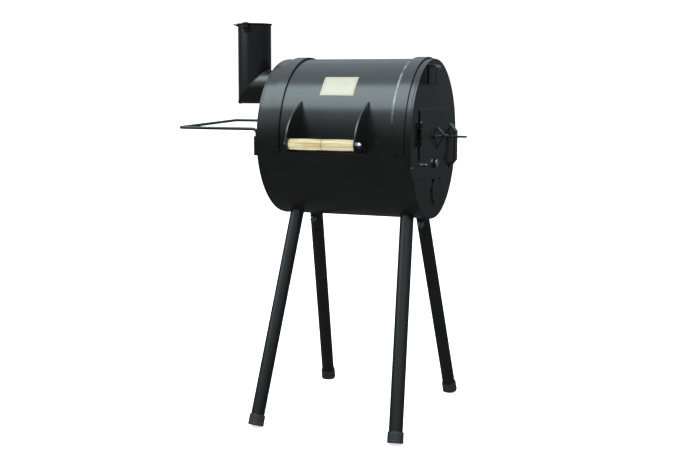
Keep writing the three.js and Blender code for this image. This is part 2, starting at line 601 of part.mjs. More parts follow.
function addDoor() {
  addPiece('door_panel', blackPaint, plateAcrossX(
    roundedRectangle(DOOR_FRONT, DOOR_REAR, DOOR_BOTTOM, DOOR_TOP, DOOR_CORNER_RADIUS),
    DOOR_INSIDE, DOOR_OUTSIDE));

  const axisX = DOOR_OUTSIDE + FIT_GAP + DOOR_LEAF_THICKNESS;
  const axisY = DOOR_FRONT - DOOR_KNUCKLE_RADIUS - FIT_GAP;
  const middle = (DOOR_BOTTOM + DOOR_TOP) / 2;
  const bore = roundBar(DOOR_PIN_RADIUS + RUN_GAP, DOOR_BOTTOM - PAST, DOOR_TOP + PAST, ROD_SEGMENTS)
    .translate(axisX, axisY, 0);
  const knuckle = (low, high) => roundBar(DOOR_KNUCKLE_RADIUS, low, high).translate(axisX, axisY, 0);

  const half = DOOR_KNUCKLE_LENGTH / 2;
  const doorLeaf = box(DOOR_OUTSIDE + FIT_GAP, axisX, axisY, DOOR_FRONT + DOOR_LEAF_WIDTH,
    middle - half, middle + half);
  addPiece('door_hinge_leaf', blackPaint, cut(join(knuckle(middle - half, middle + half), doorLeaf), bore));

  const ends = [
    ['door_hinge_bracket_upper', middle + half + RUN_GAP],
    ['door_hinge_bracket_lower', middle - half - RUN_GAP - DOOR_BRACKET_LENGTH],
  ];
  for (const [name, low] of ends) {
    const high = low + DOOR_BRACKET_LENGTH;
    const plateLeaf = box(DOOR_INSIDE, DOOR_INSIDE + DOOR_LEAF_THICKNESS,
      axisY - DOOR_LEAF_WIDTH, axisY, low, high);
    addPiece(name, blackPaint, cut(join(knuckle(low, high), plateLeaf), bore));
  }
  addPiece('door_hinge_pin', zincSteel, roundBar(DOOR_PIN_RADIUS,
    ends[1][1] - DOOR_PIN_RADIUS, ends[0][1] + DOOR_BRACKET_LENGTH + DOOR_PIN_RADIUS, ROD_SEGMENTS)
    .translate(axisX, axisY, 0));
}

// A flat bar bent over something, drawn in (Z, X): outline points on one side, back on the other.
function bentBar(outside, inside, baseX, fromY, width) {
  const points = [...outside, ...inside.reverse()].map(([z, x]) => new THREE.Vector2(z, baseX + x));
  return barAcrossY(new THREE.Shape(points), fromY, fromY + width);
}

// The bolt slides through a bent yoke and a guide, both welded to the door.
function addDoorBolt() {
  const base = DOOR_OUTSIDE + FIT_GAP;
  const wall = YOKE_THICKNESS;
  const nose = YOKE_NOSE_HEIGHT;
  addPiece('bolt_yoke', blackPaint, bentBar(
    [[YOKE_BOTTOM, 0], [nose - wall, YOKE_STANDOFF], [nose + wall, YOKE_STANDOFF], [YOKE_TOP, 0]],
    [[YOKE_BOTTOM + wall, 0], [nose - wall / 2, YOKE_STANDOFF - wall],
      [nose + wall / 2, YOKE_STANDOFF - wall], [YOKE_TOP - wall, 0]],
    base, YOKE_FRONT, YOKE_WIDTH));

  const reach = BOLT_STANDOFF + BOLT_RADIUS + RUN_GAP + GUIDE_WALL;
  const room = BOLT_RADIUS + RUN_GAP;
  const side = room + GUIDE_WALL;
  addPiece('bolt_guide', blackPaint, bentBar(
    [[-side, 0], [-side, reach], [side, reach], [side, 0]],
    [[-room, 0], [-room, reach - GUIDE_WALL], [room, reach - GUIDE_WALL], [room, 0]],
    base, GUIDE_FRONT, GUIDE_WIDTH).translate(0, 0, BOLT_HEIGHT));

  const axisX = DOOR_OUTSIDE + BOLT_STANDOFF + FIT_GAP;
  const bar = roundBarAlongY(BOLT_RADIUS, BOLT_FRONT, KEEPER_FRONT - BOLT_TIP_GAP,
    axisX, BOLT_HEIGHT, ROD_SEGMENTS);
  const handleY = YOKE_FRONT + YOKE_WIDTH + BOLT_HANDLE_RADIUS + RUN_GAP;
  const handle = roundBarAlongX(BOLT_HANDLE_RADIUS, axisX, DOOR_OUTSIDE + BOLT_HANDLE_REACH,
    handleY, BOLT_HEIGHT, ROD_SEGMENTS);
  addPiece('door_bolt', blackPaint, join(bar, handle));
}

function addKeeper() {
  const slope = KEEPER_SLOPE_DROP;
  const wall = KEEPER_THICKNESS;
  addPiece('bolt_keeper', blackPaint, bentBar(
    [[KEEPER_BOTTOM, 0], [KEEPER_BOTTOM + slope, KEEPER_STANDOFF],
      [KEEPER_TOP - slope, KEEPER_STANDOFF], [KEEPER_TOP, 0]],
    [[KEEPER_BOTTOM + wall, 0], [KEEPER_BOTTOM + slope + wall / 2, KEEPER_STANDOFF - wall],
      [KEEPER_TOP - slope - wall / 2, KEEPER_STANDOFF - wall], [KEEPER_TOP - wall, 0]],
    RIGHT_FACE + FIT_GAP, KEEPER_FRONT, KEEPER_WIDTH));
}

// One flat plate: a disc over the air hole, a neck up to the pivot, and a lever to the front.
function addAirFlap() {
  const low = RIGHT_FACE + FIT_GAP;
  const high = low + FLAP_THICKNESS;
  const holeY = AIR_HOLE_Y - FLAP_PIVOT_Y;
  const holeZ = AIR_HOLE_Z - FLAP_PIVOT_Z;
  const disc = roundBarAlongX(FLAP_DISC_RADIUS, low, high, holeY, holeZ, FLUE_SEGMENTS);
  const hub = roundBarAlongX(FLAP_NECK_WIDTH / 2, low, high, 0, 0);
  const neckAngle = Math.atan2(holeY, -holeZ);
  const neck = box(low, high, -FLAP_NECK_WIDTH / 2, FLAP_NECK_WIDTH / 2, -Math.hypot(holeY, holeZ), 0)
    .rotateX(neckAngle);
  const swing = -THREE.MathUtils.degToRad(FLAP_OPEN_ANGLE);
  const swung = join(disc, hub, neck).rotateX(swing);

  const leverLength = FLAP_PIVOT_Y + BARREL_RADIUS + FLAP_LEVER_OVERHANG;
  const halfHeight = FLAP_LEVER_HEIGHT / 2;
  const lever = plateAcrossX(roundedRectangle(-leverLength, 0, -halfHeight, halfHeight, FLAP_LEVER_CORNER),
    low, low + FLAP_LEVER_THICKNESS)
    .rotateX(-THREE.MathUtils.degToRad(FLAP_LEVER_RISE_ANGLE))
    .translate(0, 0, -FLAP_LEVER_DROP);
  const hole = roundBarAlongX(FLAP_BOLT_RADIUS + RUN_GAP, low - PAST, high + PAST, 0, 0, ROD_SEGMENTS);
  addPiece('air_flap', blackPaint, cut(join(swung, lever), hole).translate(0, FLAP_PIVOT_Y, FLAP_PIVOT_Z));

  const headStart = high + RUN_GAP;
  const head = roundBarAlongX(FLAP_BOLT_HEAD_RADIUS, headStart, headStart + FLAP_BOLT_HEAD_HEIGHT,
    FLAP_PIVOT_Y, FLAP_PIVOT_Z);
  const shank = roundBarAlongX(FLAP_BOLT_RADIUS, INNER_RIGHT, headStart + PAST,
    FLAP_PIVOT_Y, FLAP_PIVOT_Z, ROD_SEGMENTS);
  addPiece('flap_bolt', zincSteel, join(head, shank));
  addPiece('flap_stop_pin', zincSteel, roundBarAlongX(STOP_PIN_RADIUS, low, low + STOP_PIN_LENGTH,
    STOP_PIN_Y, STOP_PIN_Z, ROD_SEGMENTS));
}

// A folded plate over the top of the door, open below, to hang a side fire box on. Its outer
// corner is a bend of short steps.
function addHanger() {
  const wall = HANGER_THICKNESS;
  const top = BARREL_RADIUS - HANGER_DROP;
  const bottom = top - HANGER_HEIGHT;
  const bend = (radius) => {
    const points = [];
    for (let i = 0; i <= BEND_STEPS; i += 1) {
      const angle = Math.PI / 2 * i / BEND_STEPS;
      points.push([
        top - HANGER_BEND_RADIUS + radius * Math.cos(angle),
        HANGER_STANDOFF - HANGER_BEND_RADIUS + radius * Math.sin(angle),
      ]);
    }
    return points;
  };
  addPiece('hanger_bracket', blackPaint, bentBar(
    [[bottom, 0], [top, 0], ...bend(HANGER_BEND_RADIUS), [bottom, HANGER_STANDOFF]],
    [[bottom, wall], [top - wall, wall], ...bend(HANGER_BEND_RADIUS - wall),
      [bottom, HANGER_STANDOFF - wall]],
    RIGHT_FACE + FIT_GAP, HANGER_FRONT, HANGER_WIDTH));
}

// ---- Left end: side rail ----

// A rod bent at each corner: straight stretches, with an arc of short steps at every bend.
class BentRod extends THREE.Curve {
  constructor(corners, radius) {
    super();
    this.points = [corners[0]];
    for (let i = 1; i < corners.length - 1; i += 1) {
      this.addBend(corners[i - 1], corners[i], corners[i + 1], radius);
    }
    this.points.push(corners[corners.length - 1]);
  }

  // The bends are square, so the arc's centre is one radius along both arms.
  addBend(before, corner, after, radius) {
    const back = before.clone().sub(corner).setLength(radius);
    const ahead = after.clone().sub(corner).setLength(radius);
    const centre = corner.clone().add(back).add(ahead);
    for (let i = 0; i <= BEND_STEPS; i += 1) {
      const angle = Math.PI / 2 * i / BEND_STEPS;
      this.points.push(centre.clone()
        .addScaledVector(ahead, -Math.cos(angle))
        .addScaledVector(back, -Math.sin(angle)));
    }
  }

  getPointAt(u) {
    const last = this.points.length - 1;
    const at = Math.min(Math.floor(u * last + 1e-6), last - 1);
    return this.points[at].clone().lerp(this.points[at + 1], u * last - at);
  }

  getTangentAt(u) {
    const last = this.points.length - 1;
    const at = Math.round(u * last);
    const before = this.points[Math.max(at - 1, 0)];
    const after = this.points[Math.min(at + 1, last)];
    const here = this.points[at];
    const arriving = here.clone().sub(before).normalize();
    const leaving = after.clone().sub(here).normalize();
    return arriving.add(leaving).normalize();
  }
}

function roundSection(radius, sides) {
  const points = [];
  for (let i = 0; i < sides; i += 1) {
    const angle = 2 * Math.PI * i / sides;
    points.push(new THREE.Vector2(radius * Math.cos(angle), radius * Math.sin(angle)));
  }
  return new THREE.Shape(points);
}

function addSideRail() {
  const socketX = LEFT_FACE - RAIL_SOCKET_STANDOFF;
  const outerX = LEFT_FACE - RAIL_REACH;
  const front = (x, z) => new THREE.Vector3(x, -RAIL_HALF_WIDTH, z);
  const rear = (x, z) => new THREE.Vector3(x, RAIL_HALF_WIDTH, z);
  const path = new BentRod([
    front(socketX, RAIL_FRONT_HEIGHT - RAIL_LEG_LENGTH),
    front(socketX, RAIL_FRONT_HEIGHT),
    front(outerX, RAIL_FRONT_HEIGHT),
    rear(outerX, RAIL_REAR_HEIGHT),
    rear(socketX, RAIL_REAR_HEIGHT),
    rear(socketX, RAIL_REAR_HEIGHT - RAIL_LEG_LENGTH),
  ], RAIL_BEND_RADIUS);
  addPiece('side_rail', blackPaint, new THREE.ExtrudeGeometry(roundSection(RAIL_ROD_RADIUS, RAIL_SEGMENTS), {
    steps: path.points.length - 1, extrudePath: path, bevelEnabled: false,
  }));
  const bore = roundBar(RAIL_ROD_RADIUS + 2 * RUN_GAP, -RAIL_SOCKET_LENGTH - PAST, PAST);
  const tube = roundBar(RAIL_SOCKET_RADIUS, -RAIL_SOCKET_LENGTH, 0);
  const web = box(0, RAIL_SOCKET_STANDOFF - FIT_GAP, -RAIL_SOCKET_WEB / 2, RAIL_SOCKET_WEB / 2,
    -RAIL_SOCKET_LENGTH, 0);
  const socket = cut(join(tube, web), bore);
  addPiece('rail_socket_front', blackPaint,
    socket.clone().translate(socketX, -RAIL_HALF_WIDTH, RAIL_FRONT_HEIGHT - RAIL_SOCKET_DROP));
  addPiece('rail_socket_rear', blackPaint,
    socket.clone().translate(socketX, RAIL_HALF_WIDTH, RAIL_REAR_HEIGHT - RAIL_SOCKET_DROP));
}

// ---- Legs ----

// Each leg has its own frame: Z up along the tube from the centre of the cap's sole, and X
// towards the middle of the stand, where the bolt is.
function legFrame(sideX, sideY) {
  const topX = RIGHT_FACE - LEG_TOP_INSET;
  const topZ = -Math.sqrt((BARREL_RADIUS + LEG_TOP_RISE) ** 2 - LEG_TOP_Y ** 2);
  const footX = topX + LEG_SPLAY_X;
  const foot = new THREE.Vector3(sideX * footX, sideY * LEG_FOOT_Y, LEG_FOOT_LIFT - AXIS_HEIGHT);
  const top = new THREE.Vector3(sideX * topX, sideY * LEG_TOP_Y, topZ);
  const along = top.clone().sub(foot);
  const length = along.length();
  along.normalize();
  const inward = new THREE.Vector3(0, -sideY, 0);
  inward.addScaledVector(along, -inward.dot(along)).normalize();
  const across = along.clone().cross(inward);
  const frame = new THREE.Matrix4().makeBasis(inward, across, along).setPosition(foot);
  return { frame, length };
}

function addLeg(name, sideX, sideY) {
  const { frame, length } = legFrame(sideX, sideY);
  const inBarrelFrame = (geometry) => geometry.applyMatrix4(frame);
  const barrel = roundBarAlongX(BARREL_RADIUS + FIT_GAP, LEFT_FACE, RIGHT_FACE, 0, 0, 2 * BARREL_SEGMENTS);
  const boltZ = length - LEG_BOLT_DROP;
  const above = length + 2 * LEG_RADIUS;
  const tubeStart = CAP_SOLE + FIT_GAP;

  const boltHole = roundBarAlongX(LEG_BOLT_RADIUS + FIT_GAP, LEG_RADIUS / 2, 2 * LEG_RADIUS, 0, boltZ,
    ROD_SEGMENTS);
  const tube = cut(pipe(LEG_RADIUS, LEG_RADIUS - LEG_WALL, tubeStart, above), boltHole);
  addPiece(`leg_tube_${name}`, blackPaint, cut(inBarrelFrame(tube), barrel));

  const spigot = LEG_RADIUS - LEG_WALL - FIT_GAP;
  const socket = pipe(spigot, spigot - LEG_SOCKET_WALL, length - LEG_SOCKET_LENGTH, above);
  addPiece(`leg_socket_${name}`, blackPaint, cut(inBarrelFrame(socket), barrel));

  const nutStart = LEG_RADIUS + FIT_GAP;
  const headStart = nutStart + LEG_NUT_HEIGHT;
  const bolt = join(
    roundBar(LEG_BOLT_RADIUS, spigot + FIT_GAP, headStart + PAST, ROD_SEGMENTS),
    hexPrism(LEG_NUT_WIDTH, nutStart, headStart),
    hexPrism(LEG_BOLT_HEAD_WIDTH, headStart, headStart + LEG_BOLT_HEAD_HEIGHT));
  addPiece(`leg_bolt_${name}`, zincSteel,
    inBarrelFrame(bolt.applyMatrix4(Y_Z_X).translate(0, 0, boltZ)));

  const bore = LEG_RADIUS + FIT_GAP;
  const cap = turned([
    [0, 0], [bore + CAP_WALL, 0], [bore + CAP_WALL, CAP_HEIGHT], [bore, CAP_HEIGHT], [bore, CAP_SOLE],
    [0, CAP_SOLE],
  ], TUBE_SEGMENTS);
  const floor = box(2 * LEFT_FACE, 2 * RIGHT_FACE, -2 * LEG_FOOT_Y, 2 * LEG_FOOT_Y,
    -AXIS_HEIGHT - CAP_HEIGHT, -AXIS_HEIGHT);
  addPiece(`foot_cap_${name}`, blackRubber, cut(inBarrelFrame(cap), floor));
}

addBarrel();
addEndPlates();
addGrate('cooking_grate', COOKING_GRATE_Z, COOKING_GRATE_SLOTS);
addGrate('fire_grate', FIRE_GRATE_Z, FIRE_GRATE_SLOTS);
addLedges();
addChimney();
addDamper();
addLidShell();
addHandle();
addLidHinges();
addDoor();
addDoorBolt();
addKeeper();
addAirFlap();
addHanger();
addSideRail();
addLeg('front_left', -1, -1);
addLeg('front_right', 1, -1);
addLeg('rear_left', -1, 1);
addLeg('rear_right', 1, 1);

// Stand the smoker on the floor, with the middle of its outline over the origin.
const extent = new THREE.Box3().setFromObject(smoker);
const centre = extent.getCenter(new THREE.Vector3());
smoker.position.set(-centre.x, -centre.y, AXIS_HEIGHT);

export default smoker;
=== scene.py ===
import json
import math

import bmesh
import bpy
from mathutils import Matrix, Vector


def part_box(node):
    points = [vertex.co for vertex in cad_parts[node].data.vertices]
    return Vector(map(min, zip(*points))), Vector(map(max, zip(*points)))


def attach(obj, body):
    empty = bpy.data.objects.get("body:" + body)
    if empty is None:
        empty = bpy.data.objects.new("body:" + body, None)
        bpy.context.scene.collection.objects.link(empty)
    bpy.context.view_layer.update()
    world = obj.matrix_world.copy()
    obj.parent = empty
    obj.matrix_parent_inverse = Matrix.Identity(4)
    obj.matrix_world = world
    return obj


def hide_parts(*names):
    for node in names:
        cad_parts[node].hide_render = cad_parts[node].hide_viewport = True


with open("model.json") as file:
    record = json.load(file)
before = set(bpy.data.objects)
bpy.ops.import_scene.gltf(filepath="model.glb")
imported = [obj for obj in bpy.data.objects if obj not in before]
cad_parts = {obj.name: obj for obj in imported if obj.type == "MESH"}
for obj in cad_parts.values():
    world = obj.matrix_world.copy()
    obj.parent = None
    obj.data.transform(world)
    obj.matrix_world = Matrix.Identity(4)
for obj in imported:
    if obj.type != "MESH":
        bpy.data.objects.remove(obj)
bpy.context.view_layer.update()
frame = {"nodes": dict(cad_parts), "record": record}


# ---- Barrel shell ----
# A length of 16 inch steel pipe, flame-cut on top for the lid mouth and painted black outside.
# The sheet is turned about its axis in two strips, so the mouth is left open, and then thickened.

shell_low, shell_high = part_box("barrel_shell")
lid_low, lid_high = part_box("lid_shell")
BARREL_CENTRE = (shell_low + shell_high) / 2
BARREL_RADIUS = (shell_high.z - shell_low.z) / 2
BARREL_WALL = 0.004
SHELL_HALF_LENGTH = (shell_high.x - shell_low.x) / 2
LID_LEFT = lid_low.x - BARREL_CENTRE.x
LID_RIGHT = lid_high.x - BARREL_CENTRE.x
LID_SEAM = 0.0012               # the open seam round the lid
STEPS_PER_DEGREE = 0.6
X_AXIS = Vector((1, 0, 0))
Z_AXIS = Vector((0, 0, 1))


def around(radius, degrees, x=0.0):
    """A point round the barrel's axis: the angle is above the front horizontal."""
    angle = math.radians(degrees)
    return Vector((x, -radius * math.cos(angle), radius * math.sin(angle)))


LID_FRONT_ANGLE = math.degrees(math.asin((lid_low.z - BARREL_CENTRE.z) / BARREL_RADIUS))
LID_REAR_ANGLE = math.degrees(math.acos((BARREL_CENTRE.y - lid_high.y) / BARREL_RADIUS))
SEAM_ANGLE = math.degrees(LID_SEAM / BARREL_RADIUS)


def linear(hex_colour):
    """sRGB hex to the linear colour that a shader socket takes."""
    channels = [int(hex_colour[i:i + 2], 16) / 255 for i in (1, 3, 5)]
    values = [c / 12.92 if c <= 0.04045 else ((c + 0.055) / 1.055) ** 2.4 for c in channels]
    return (*values, 1.0)


def add_node(tree, kind, links=None, **settings):
    """Adds a shader node: settings name its sockets by number or label, or its properties."""
    node = tree.nodes.new(kind)
    for name, value in settings.items():
        label = name.replace("_", " ")
        if name.startswith("input_"):
            node.inputs[int(name[6:])].default_value = value
        elif label in node.inputs:
            node.inputs[label].default_value = value
        else:
            setattr(node, name, value)
    for socket, source in (links or {}).items():
        tree.links.new(source, node.inputs[socket])
    return node


def new_material(name):
    """An empty node tree with its output, and the object's own coordinates in metres."""
    material = bpy.data.materials.new(name)
    material.use_nodes = True
    tree = material.node_tree
    tree.nodes.clear()
    place = add_node(tree, "ShaderNodeTexCoord").outputs["Object"]
    return material, tree, place


def finish_material(material, tree, shader):
    add_node(tree, "ShaderNodeOutputMaterial", {"Surface": shader.outputs["BSDF"]})
    return material


def painted_highlight_mask(tree, place, highlight_x, highlight_height):
    """1 on a narrow line round the barrel: a painted highlight line, broken up and fading below."""
    axes = add_node(tree, "ShaderNodeSeparateXYZ", {"Vector": place}).outputs
    offset = add_node(tree, "ShaderNodeMath", {0: axes["X"]}, operation="SUBTRACT", input_1=highlight_x)
    distance = add_node(tree, "ShaderNodeMath", {0: offset.outputs[0]}, operation="ABSOLUTE")
    line = add_node(tree, "ShaderNodeMapRange", {"Value": distance.outputs[0]},
                    From_Min=0.0012, From_Max=0.0042, To_Min=1.0, To_Max=0.0)
    streak_noise = add_node(tree, "ShaderNodeTexNoise", {"Vector": place}, Scale=55.0, Detail=4.0)
    broken = add_node(tree, "ShaderNodeMapRange", {"Value": streak_noise.outputs["Fac"]}, From_Min=0.3, From_Max=0.55)
    fade = add_node(tree, "ShaderNodeMapRange", {"Value": axes["Z"]},
                    From_Min=highlight_height, From_Max=highlight_height + 0.06)
    patchy = add_node(tree, "ShaderNodeMath", {0: line.outputs[0], 1: broken.outputs[0]},
                      operation="MULTIPLY")
    return add_node(tree, "ShaderNodeMath", {0: patchy.outputs[0], 1: fade.outputs[0]},
                    operation="MULTIPLY").outputs[0]


def stove_paint(name, highlight_x=None, highlight_height=0.0):
    """Heat-resistant semi-gloss paint, sprayed over bare steel: a deep, faintly blue black with a
    fine orange peel, and slow changes of gloss where the coat is thicker or thinner."""
    material, tree, place = new_material(name)
    coat = add_node(tree, "ShaderNodeTexNoise", {"Vector": place}, Scale=7.0, Detail=3.0, Roughness=0.6)
    peel = add_node(tree, "ShaderNodeTexNoise", {"Vector": place}, Scale=420.0, Detail=2.0)
    tint = add_node(tree, "ShaderNodeMix", {"Factor": coat.outputs["Fac"]}, data_type="RGBA",
                    input_6=linear("#0d0c0b"), input_7=linear("#121210"))
    colour = tint.outputs[2]
    # The lighter grey line mixed in here is a painted highlight round the lid, not rubbed paint.
    if highlight_x is not None:
        mask = painted_highlight_mask(tree, place, highlight_x, highlight_height)
        highlighted = add_node(tree, "ShaderNodeMix", {"Factor": mask, "A": colour},
                          data_type="RGBA", input_7=linear("#757879"))
        colour = highlighted.outputs[2]
    gloss = add_node(tree, "ShaderNodeMapRange", {"Value": coat.outputs["Fac"]},
                     From_Min=0.3, From_Max=0.7, To_Min=0.19, To_Max=0.26)
    bump = add_node(tree, "ShaderNodeBump", {"Height": peel.outputs["Fac"]}, Strength=0.05, Distance=0.0002)
    shader = add_node(tree, "ShaderNodeBsdfPrincipled",
                      {"Base Color": colour, "Roughness": gloss.outputs["Result"],
                       "Normal": bump.outputs["Normal"]}, IOR=1.5)
    return finish_material(material, tree, shader)


def sooted_steel():
    """The inside of the chamber: bare rolled steel under a matt brown-black film of smoke."""
    material, tree, place = new_material("sooted_steel")
    film = add_node(tree, "ShaderNodeTexNoise", {"Vector": place}, Scale=24.0, Detail=6.0, Roughness=0.65)
    tint = add_node(tree, "ShaderNodeValToRGB", {"Fac": film.outputs["Fac"]})
    tint.color_ramp.elements[0].position = 0.35
    tint.color_ramp.elements[0].color = linear("#1a1512")
    tint.color_ramp.elements[1].position = 0.7
    tint.color_ramp.elements[1].color = linear("#3a322c")
    bump = add_node(tree, "ShaderNodeBump", {"Height": film.outputs["Fac"]}, Strength=0.3, Distance=0.0006)
    shader = add_node(tree, "ShaderNodeBsdfPrincipled",
                      {"Base Color": tint.outputs["Color"], "Normal": bump.outputs["Normal"]},
                      Roughness=0.75, IOR=1.5)
    return finish_material(material, tree, shader)


PAINT = stove_paint("black_stove_paint")
SOOT = sooted_steel()


def bevel_sharp(bm, width, segments=2, degrees=35):
    """Rounds every edge that is sharper than the angle, as a grinder and paint leave it."""
    limit = math.radians(degrees)
    sharp = [e for e in bm.edges if len(e.link_faces) == 2 and e.calc_face_angle() > limit]
    bmesh.ops.bevel(bm, geom=sharp, offset=width, segments=segments, profile=0.5,
                    affect="EDGES", clamp_overlap=True, material=-1)


def finish_piece(bm, name, body, materials, nodes=(), centre=BARREL_CENTRE, smooth=38):
    """Puts a mesh that was made round a centre into its place, as one piece that rides on a body."""
    bmesh.ops.translate(bm, verts=bm.verts, vec=centre)
    mesh = bpy.data.meshes.new(name)
    bm.to_mesh(mesh)
    bm.free()
    for material in materials:
        mesh.materials.append(material)
    mesh.shade_smooth()
    mesh.set_sharp_from_angle(angle=math.radians(smooth))
    piece = bpy.data.objects.new(name, mesh)
    bpy.context.scene.collection.objects.link(piece)
    flatten = piece.modifiers.new("large_faces_stay_flat", "WEIGHTED_NORMAL")
    flatten.weight = 100
    flatten.keep_sharp = True
    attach(piece, body)
    if nodes:
        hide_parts(*nodes)
    return piece


def turned_sheet(bm, stations, radius, low, high):
    """Sweeps a row of points along X round the barrel's axis, from one angle to another."""
    row = [bm.verts.new(around(radius, low, x)) for x in stations]
    line = [bm.edges.new(pair) for pair in zip(row, row[1:])]
    steps = max(2, round(abs(high - low) * STEPS_PER_DEGREE))
    bmesh.ops.spin(bm, geom=row + line, cent=(0, 0, 0), axis=-X_AXIS,
                   angle=math.radians(high - low), steps=steps, use_merge=False, use_duplicate=False)


def thicken_inwards(bm, wall):
    """Turns the sheet's faces out from the axis, and gives it its wall on the inside."""
    bmesh.ops.remove_doubles(bm, verts=bm.verts, dist=1e-5)
    bmesh.ops.recalc_face_normals(bm, faces=bm.faces)
    first = next(iter(bm.faces))
    outward = Vector((0, *first.calc_center_median().yz))
    if first.normal.dot(outward) < 0:
        bmesh.ops.reverse_faces(bm, faces=bm.faces)
    bmesh.ops.solidify(bm, geom=bm.faces, thickness=wall)


def soot_inside(bm, radius):
    for face in bm.faces:
        if face.calc_center_median().yz.length < radius:
            face.material_index = 1


mouth = (LID_LEFT - LID_SEAM, LID_RIGHT + LID_SEAM)
closed_from = LID_REAR_ANGLE + SEAM_ANGLE
closed_to = LID_FRONT_ANGLE - SEAM_ANGLE + 360
bm = bmesh.new()
turned_sheet(bm, (-SHELL_HALF_LENGTH, *mouth, SHELL_HALF_LENGTH), BARREL_RADIUS, closed_from, closed_to)
for strip in ((-SHELL_HALF_LENGTH, mouth[0]), (mouth[1], SHELL_HALF_LENGTH)):
    turned_sheet(bm, strip, BARREL_RADIUS, closed_to - 360, closed_from)
thicken_inwards(bm, BARREL_WALL)
bevel_sharp(bm, 0.0004)
soot_inside(bm, BARREL_RADIUS - BARREL_WALL / 2)
finish_piece(bm, "shell", "root", [PAINT, SOOT], ["barrel_shell"])


# ---- End plates ----
# Two 5 mm steel discs, plasma-cut and welded over the pipe's ends. The left one has the flue
# hole; the right one has the charcoal doorway with rounded corners, and the air hole under it.

END_PLATE_WALL = 0.005
ROUND_STEPS = 128


def circle(bm, radius, x, y=0.0, z=0.0, steps=64):
    turn = Matrix.Translation((x, y, z)) @ Matrix.Rotation(math.pi / 2, 4, "Y")
    return bmesh.ops.create_circle(bm, segments=steps, radius=radius, matrix=turn)["verts"]


def rounded_box_outline(bm, low, high, radius, x, steps=5):
    """A rectangle with round corners, in the (Y, Z) plane."""
    corners = [(high[0], high[1], 0), (low[0], high[1], 90), (low[0], low[1], 180), (high[0], low[1], 270)]
    points = []
    for y, z, start in corners:
        inner_y = y - math.copysign(radius, y - (low[0] + high[0]) / 2)
        inner_z = z - math.copysign(radius, z - (low[1] + high[1]) / 2)
        for i in range(steps + 1):
            angle = math.radians(start + 90 * i / steps)
            points.append(bm.verts.new((x, inner_y + radius * math.cos(angle),
                                        inner_z + radius * math.sin(angle))))
    for a, b in zip(points, points[1:] + points[:1]):
        bm.edges.new((a, b))
    return points


def plate_from_outlines(bm, thickness):
    """Fills flat outlines in a (Y, Z) plane, holes left open, and thickens them towards +X."""
    bmesh.ops.triangle_fill(bm, use_beauty=True, use_dissolve=True, edges=bm.edges, normal=X_AXIS)
    made = bmesh.ops.extrude_face_region(bm, geom=bm.faces[:])
    moved = [v for v in made["geom"] if isinstance(v, bmesh.types.BMVert)]
    bmesh.ops.translate(bm, verts=moved, vec=(thickness, 0, 0))
    bmesh.ops.recalc_face_normals(bm, faces=bm.faces)


plate_left_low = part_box("end_plate_left")[0]
plate_right_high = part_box("end_plate_right")[1]
flue_low, flue_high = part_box("chimney_elbow")
door_low, door_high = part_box("door_panel")
FLUE_RADIUS = (flue_high.y - flue_low.y) / 2
FLUE_WALL = 0.003
FLUE_HEIGHT = flue_low.z + FLUE_RADIUS - BARREL_CENTRE.z
DOOR_OVERLAP = 0.012
AIR_HOLE_RADIUS = 0.030
air_opening = next(o for o in frame["record"]["physics"]["openings"] if o["name"] == "air_hole")["box_m"]
AIR_HOLE = (Vector(air_opening[0]) + Vector(air_opening[1])) / 2 - BARREL_CENTRE
LEFT_FACE = plate_left_low.x - BARREL_CENTRE.x
RIGHT_FACE = plate_right_high.x - BARREL_CENTRE.x

bm = bmesh.new()
circle(bm, BARREL_RADIUS, LEFT_FACE, steps=ROUND_STEPS)
circle(bm, FLUE_RADIUS - FLUE_WALL, LEFT_FACE, z=FLUE_HEIGHT)
plate_from_outlines(bm, END_PLATE_WALL)
bevel_sharp(bm, 0.0008)
finish_piece(bm, "end_disc_left", "root", [PAINT], ["end_plate_left"])

bm = bmesh.new()
circle(bm, BARREL_RADIUS, RIGHT_FACE - END_PLATE_WALL, steps=ROUND_STEPS)
circle(bm, AIR_HOLE_RADIUS, RIGHT_FACE - END_PLATE_WALL, AIR_HOLE.y, AIR_HOLE.z)
doorway_low = (door_low - BARREL_CENTRE).yz + Vector((DOOR_OVERLAP, DOOR_OVERLAP))
doorway_high = (door_high - BARREL_CENTRE).yz - Vector((DOOR_OVERLAP, DOOR_OVERLAP))
rounded_box_outline(bm, doorway_low, doorway_high, 0.008, RIGHT_FACE - END_PLATE_WALL)
plate_from_outlines(bm, END_PLATE_WALL)
bevel_sharp(bm, 0.0008)
finish_piece(bm, "end_disc_right", "root", [PAINT], ["end_plate_right"])


# ---- Weld beads ----
# The end plates and the chimney's joints are MIG-welded: a narrow rounded bead with a ripple at
# every step of the torch, painted over. Each bead is a small circle swept round its joint.


def bead_ring(bm, radius, width, steps, centre, tilt, stretch=1.0):
    """A rippled ring about Z, then stretched along X, tilted and moved to its joint."""
    start = bmesh.ops.create_circle(bm, segments=8, radius=width,
                                    matrix=Matrix.Rotation(math.pi / 2, 4, "X"))["verts"]
    bmesh.ops.translate(bm, verts=start, vec=(radius, 0, 0))
    edges = list({e for v in start for e in v.link_edges})
    before = set(bm.verts) - set(start)
    bmesh.ops.spin(bm, geom=start + edges, cent=(0, 0, 0), axis=Z_AXIS, angle=2 * math.pi,
                   steps=steps, use_merge=True, use_duplicate=False)
    ring = [v for v in bm.verts if v not in before]
    for vert in ring:
        turn = math.atan2(vert.co.y, vert.co.x) / (2 * math.pi) * steps
        middle = Vector((vert.co.x, vert.co.y, 0)).normalized() * radius
        vert.co = middle + (vert.co - middle) * (1.0 if round(turn) % 3 else 0.82)
        vert.co.x *= stretch
    bmesh.ops.transform(bm, verts=ring, matrix=Matrix.Translation(centre) @ tilt)
    bmesh.ops.recalc_face_normals(bm, faces=bm.faces)


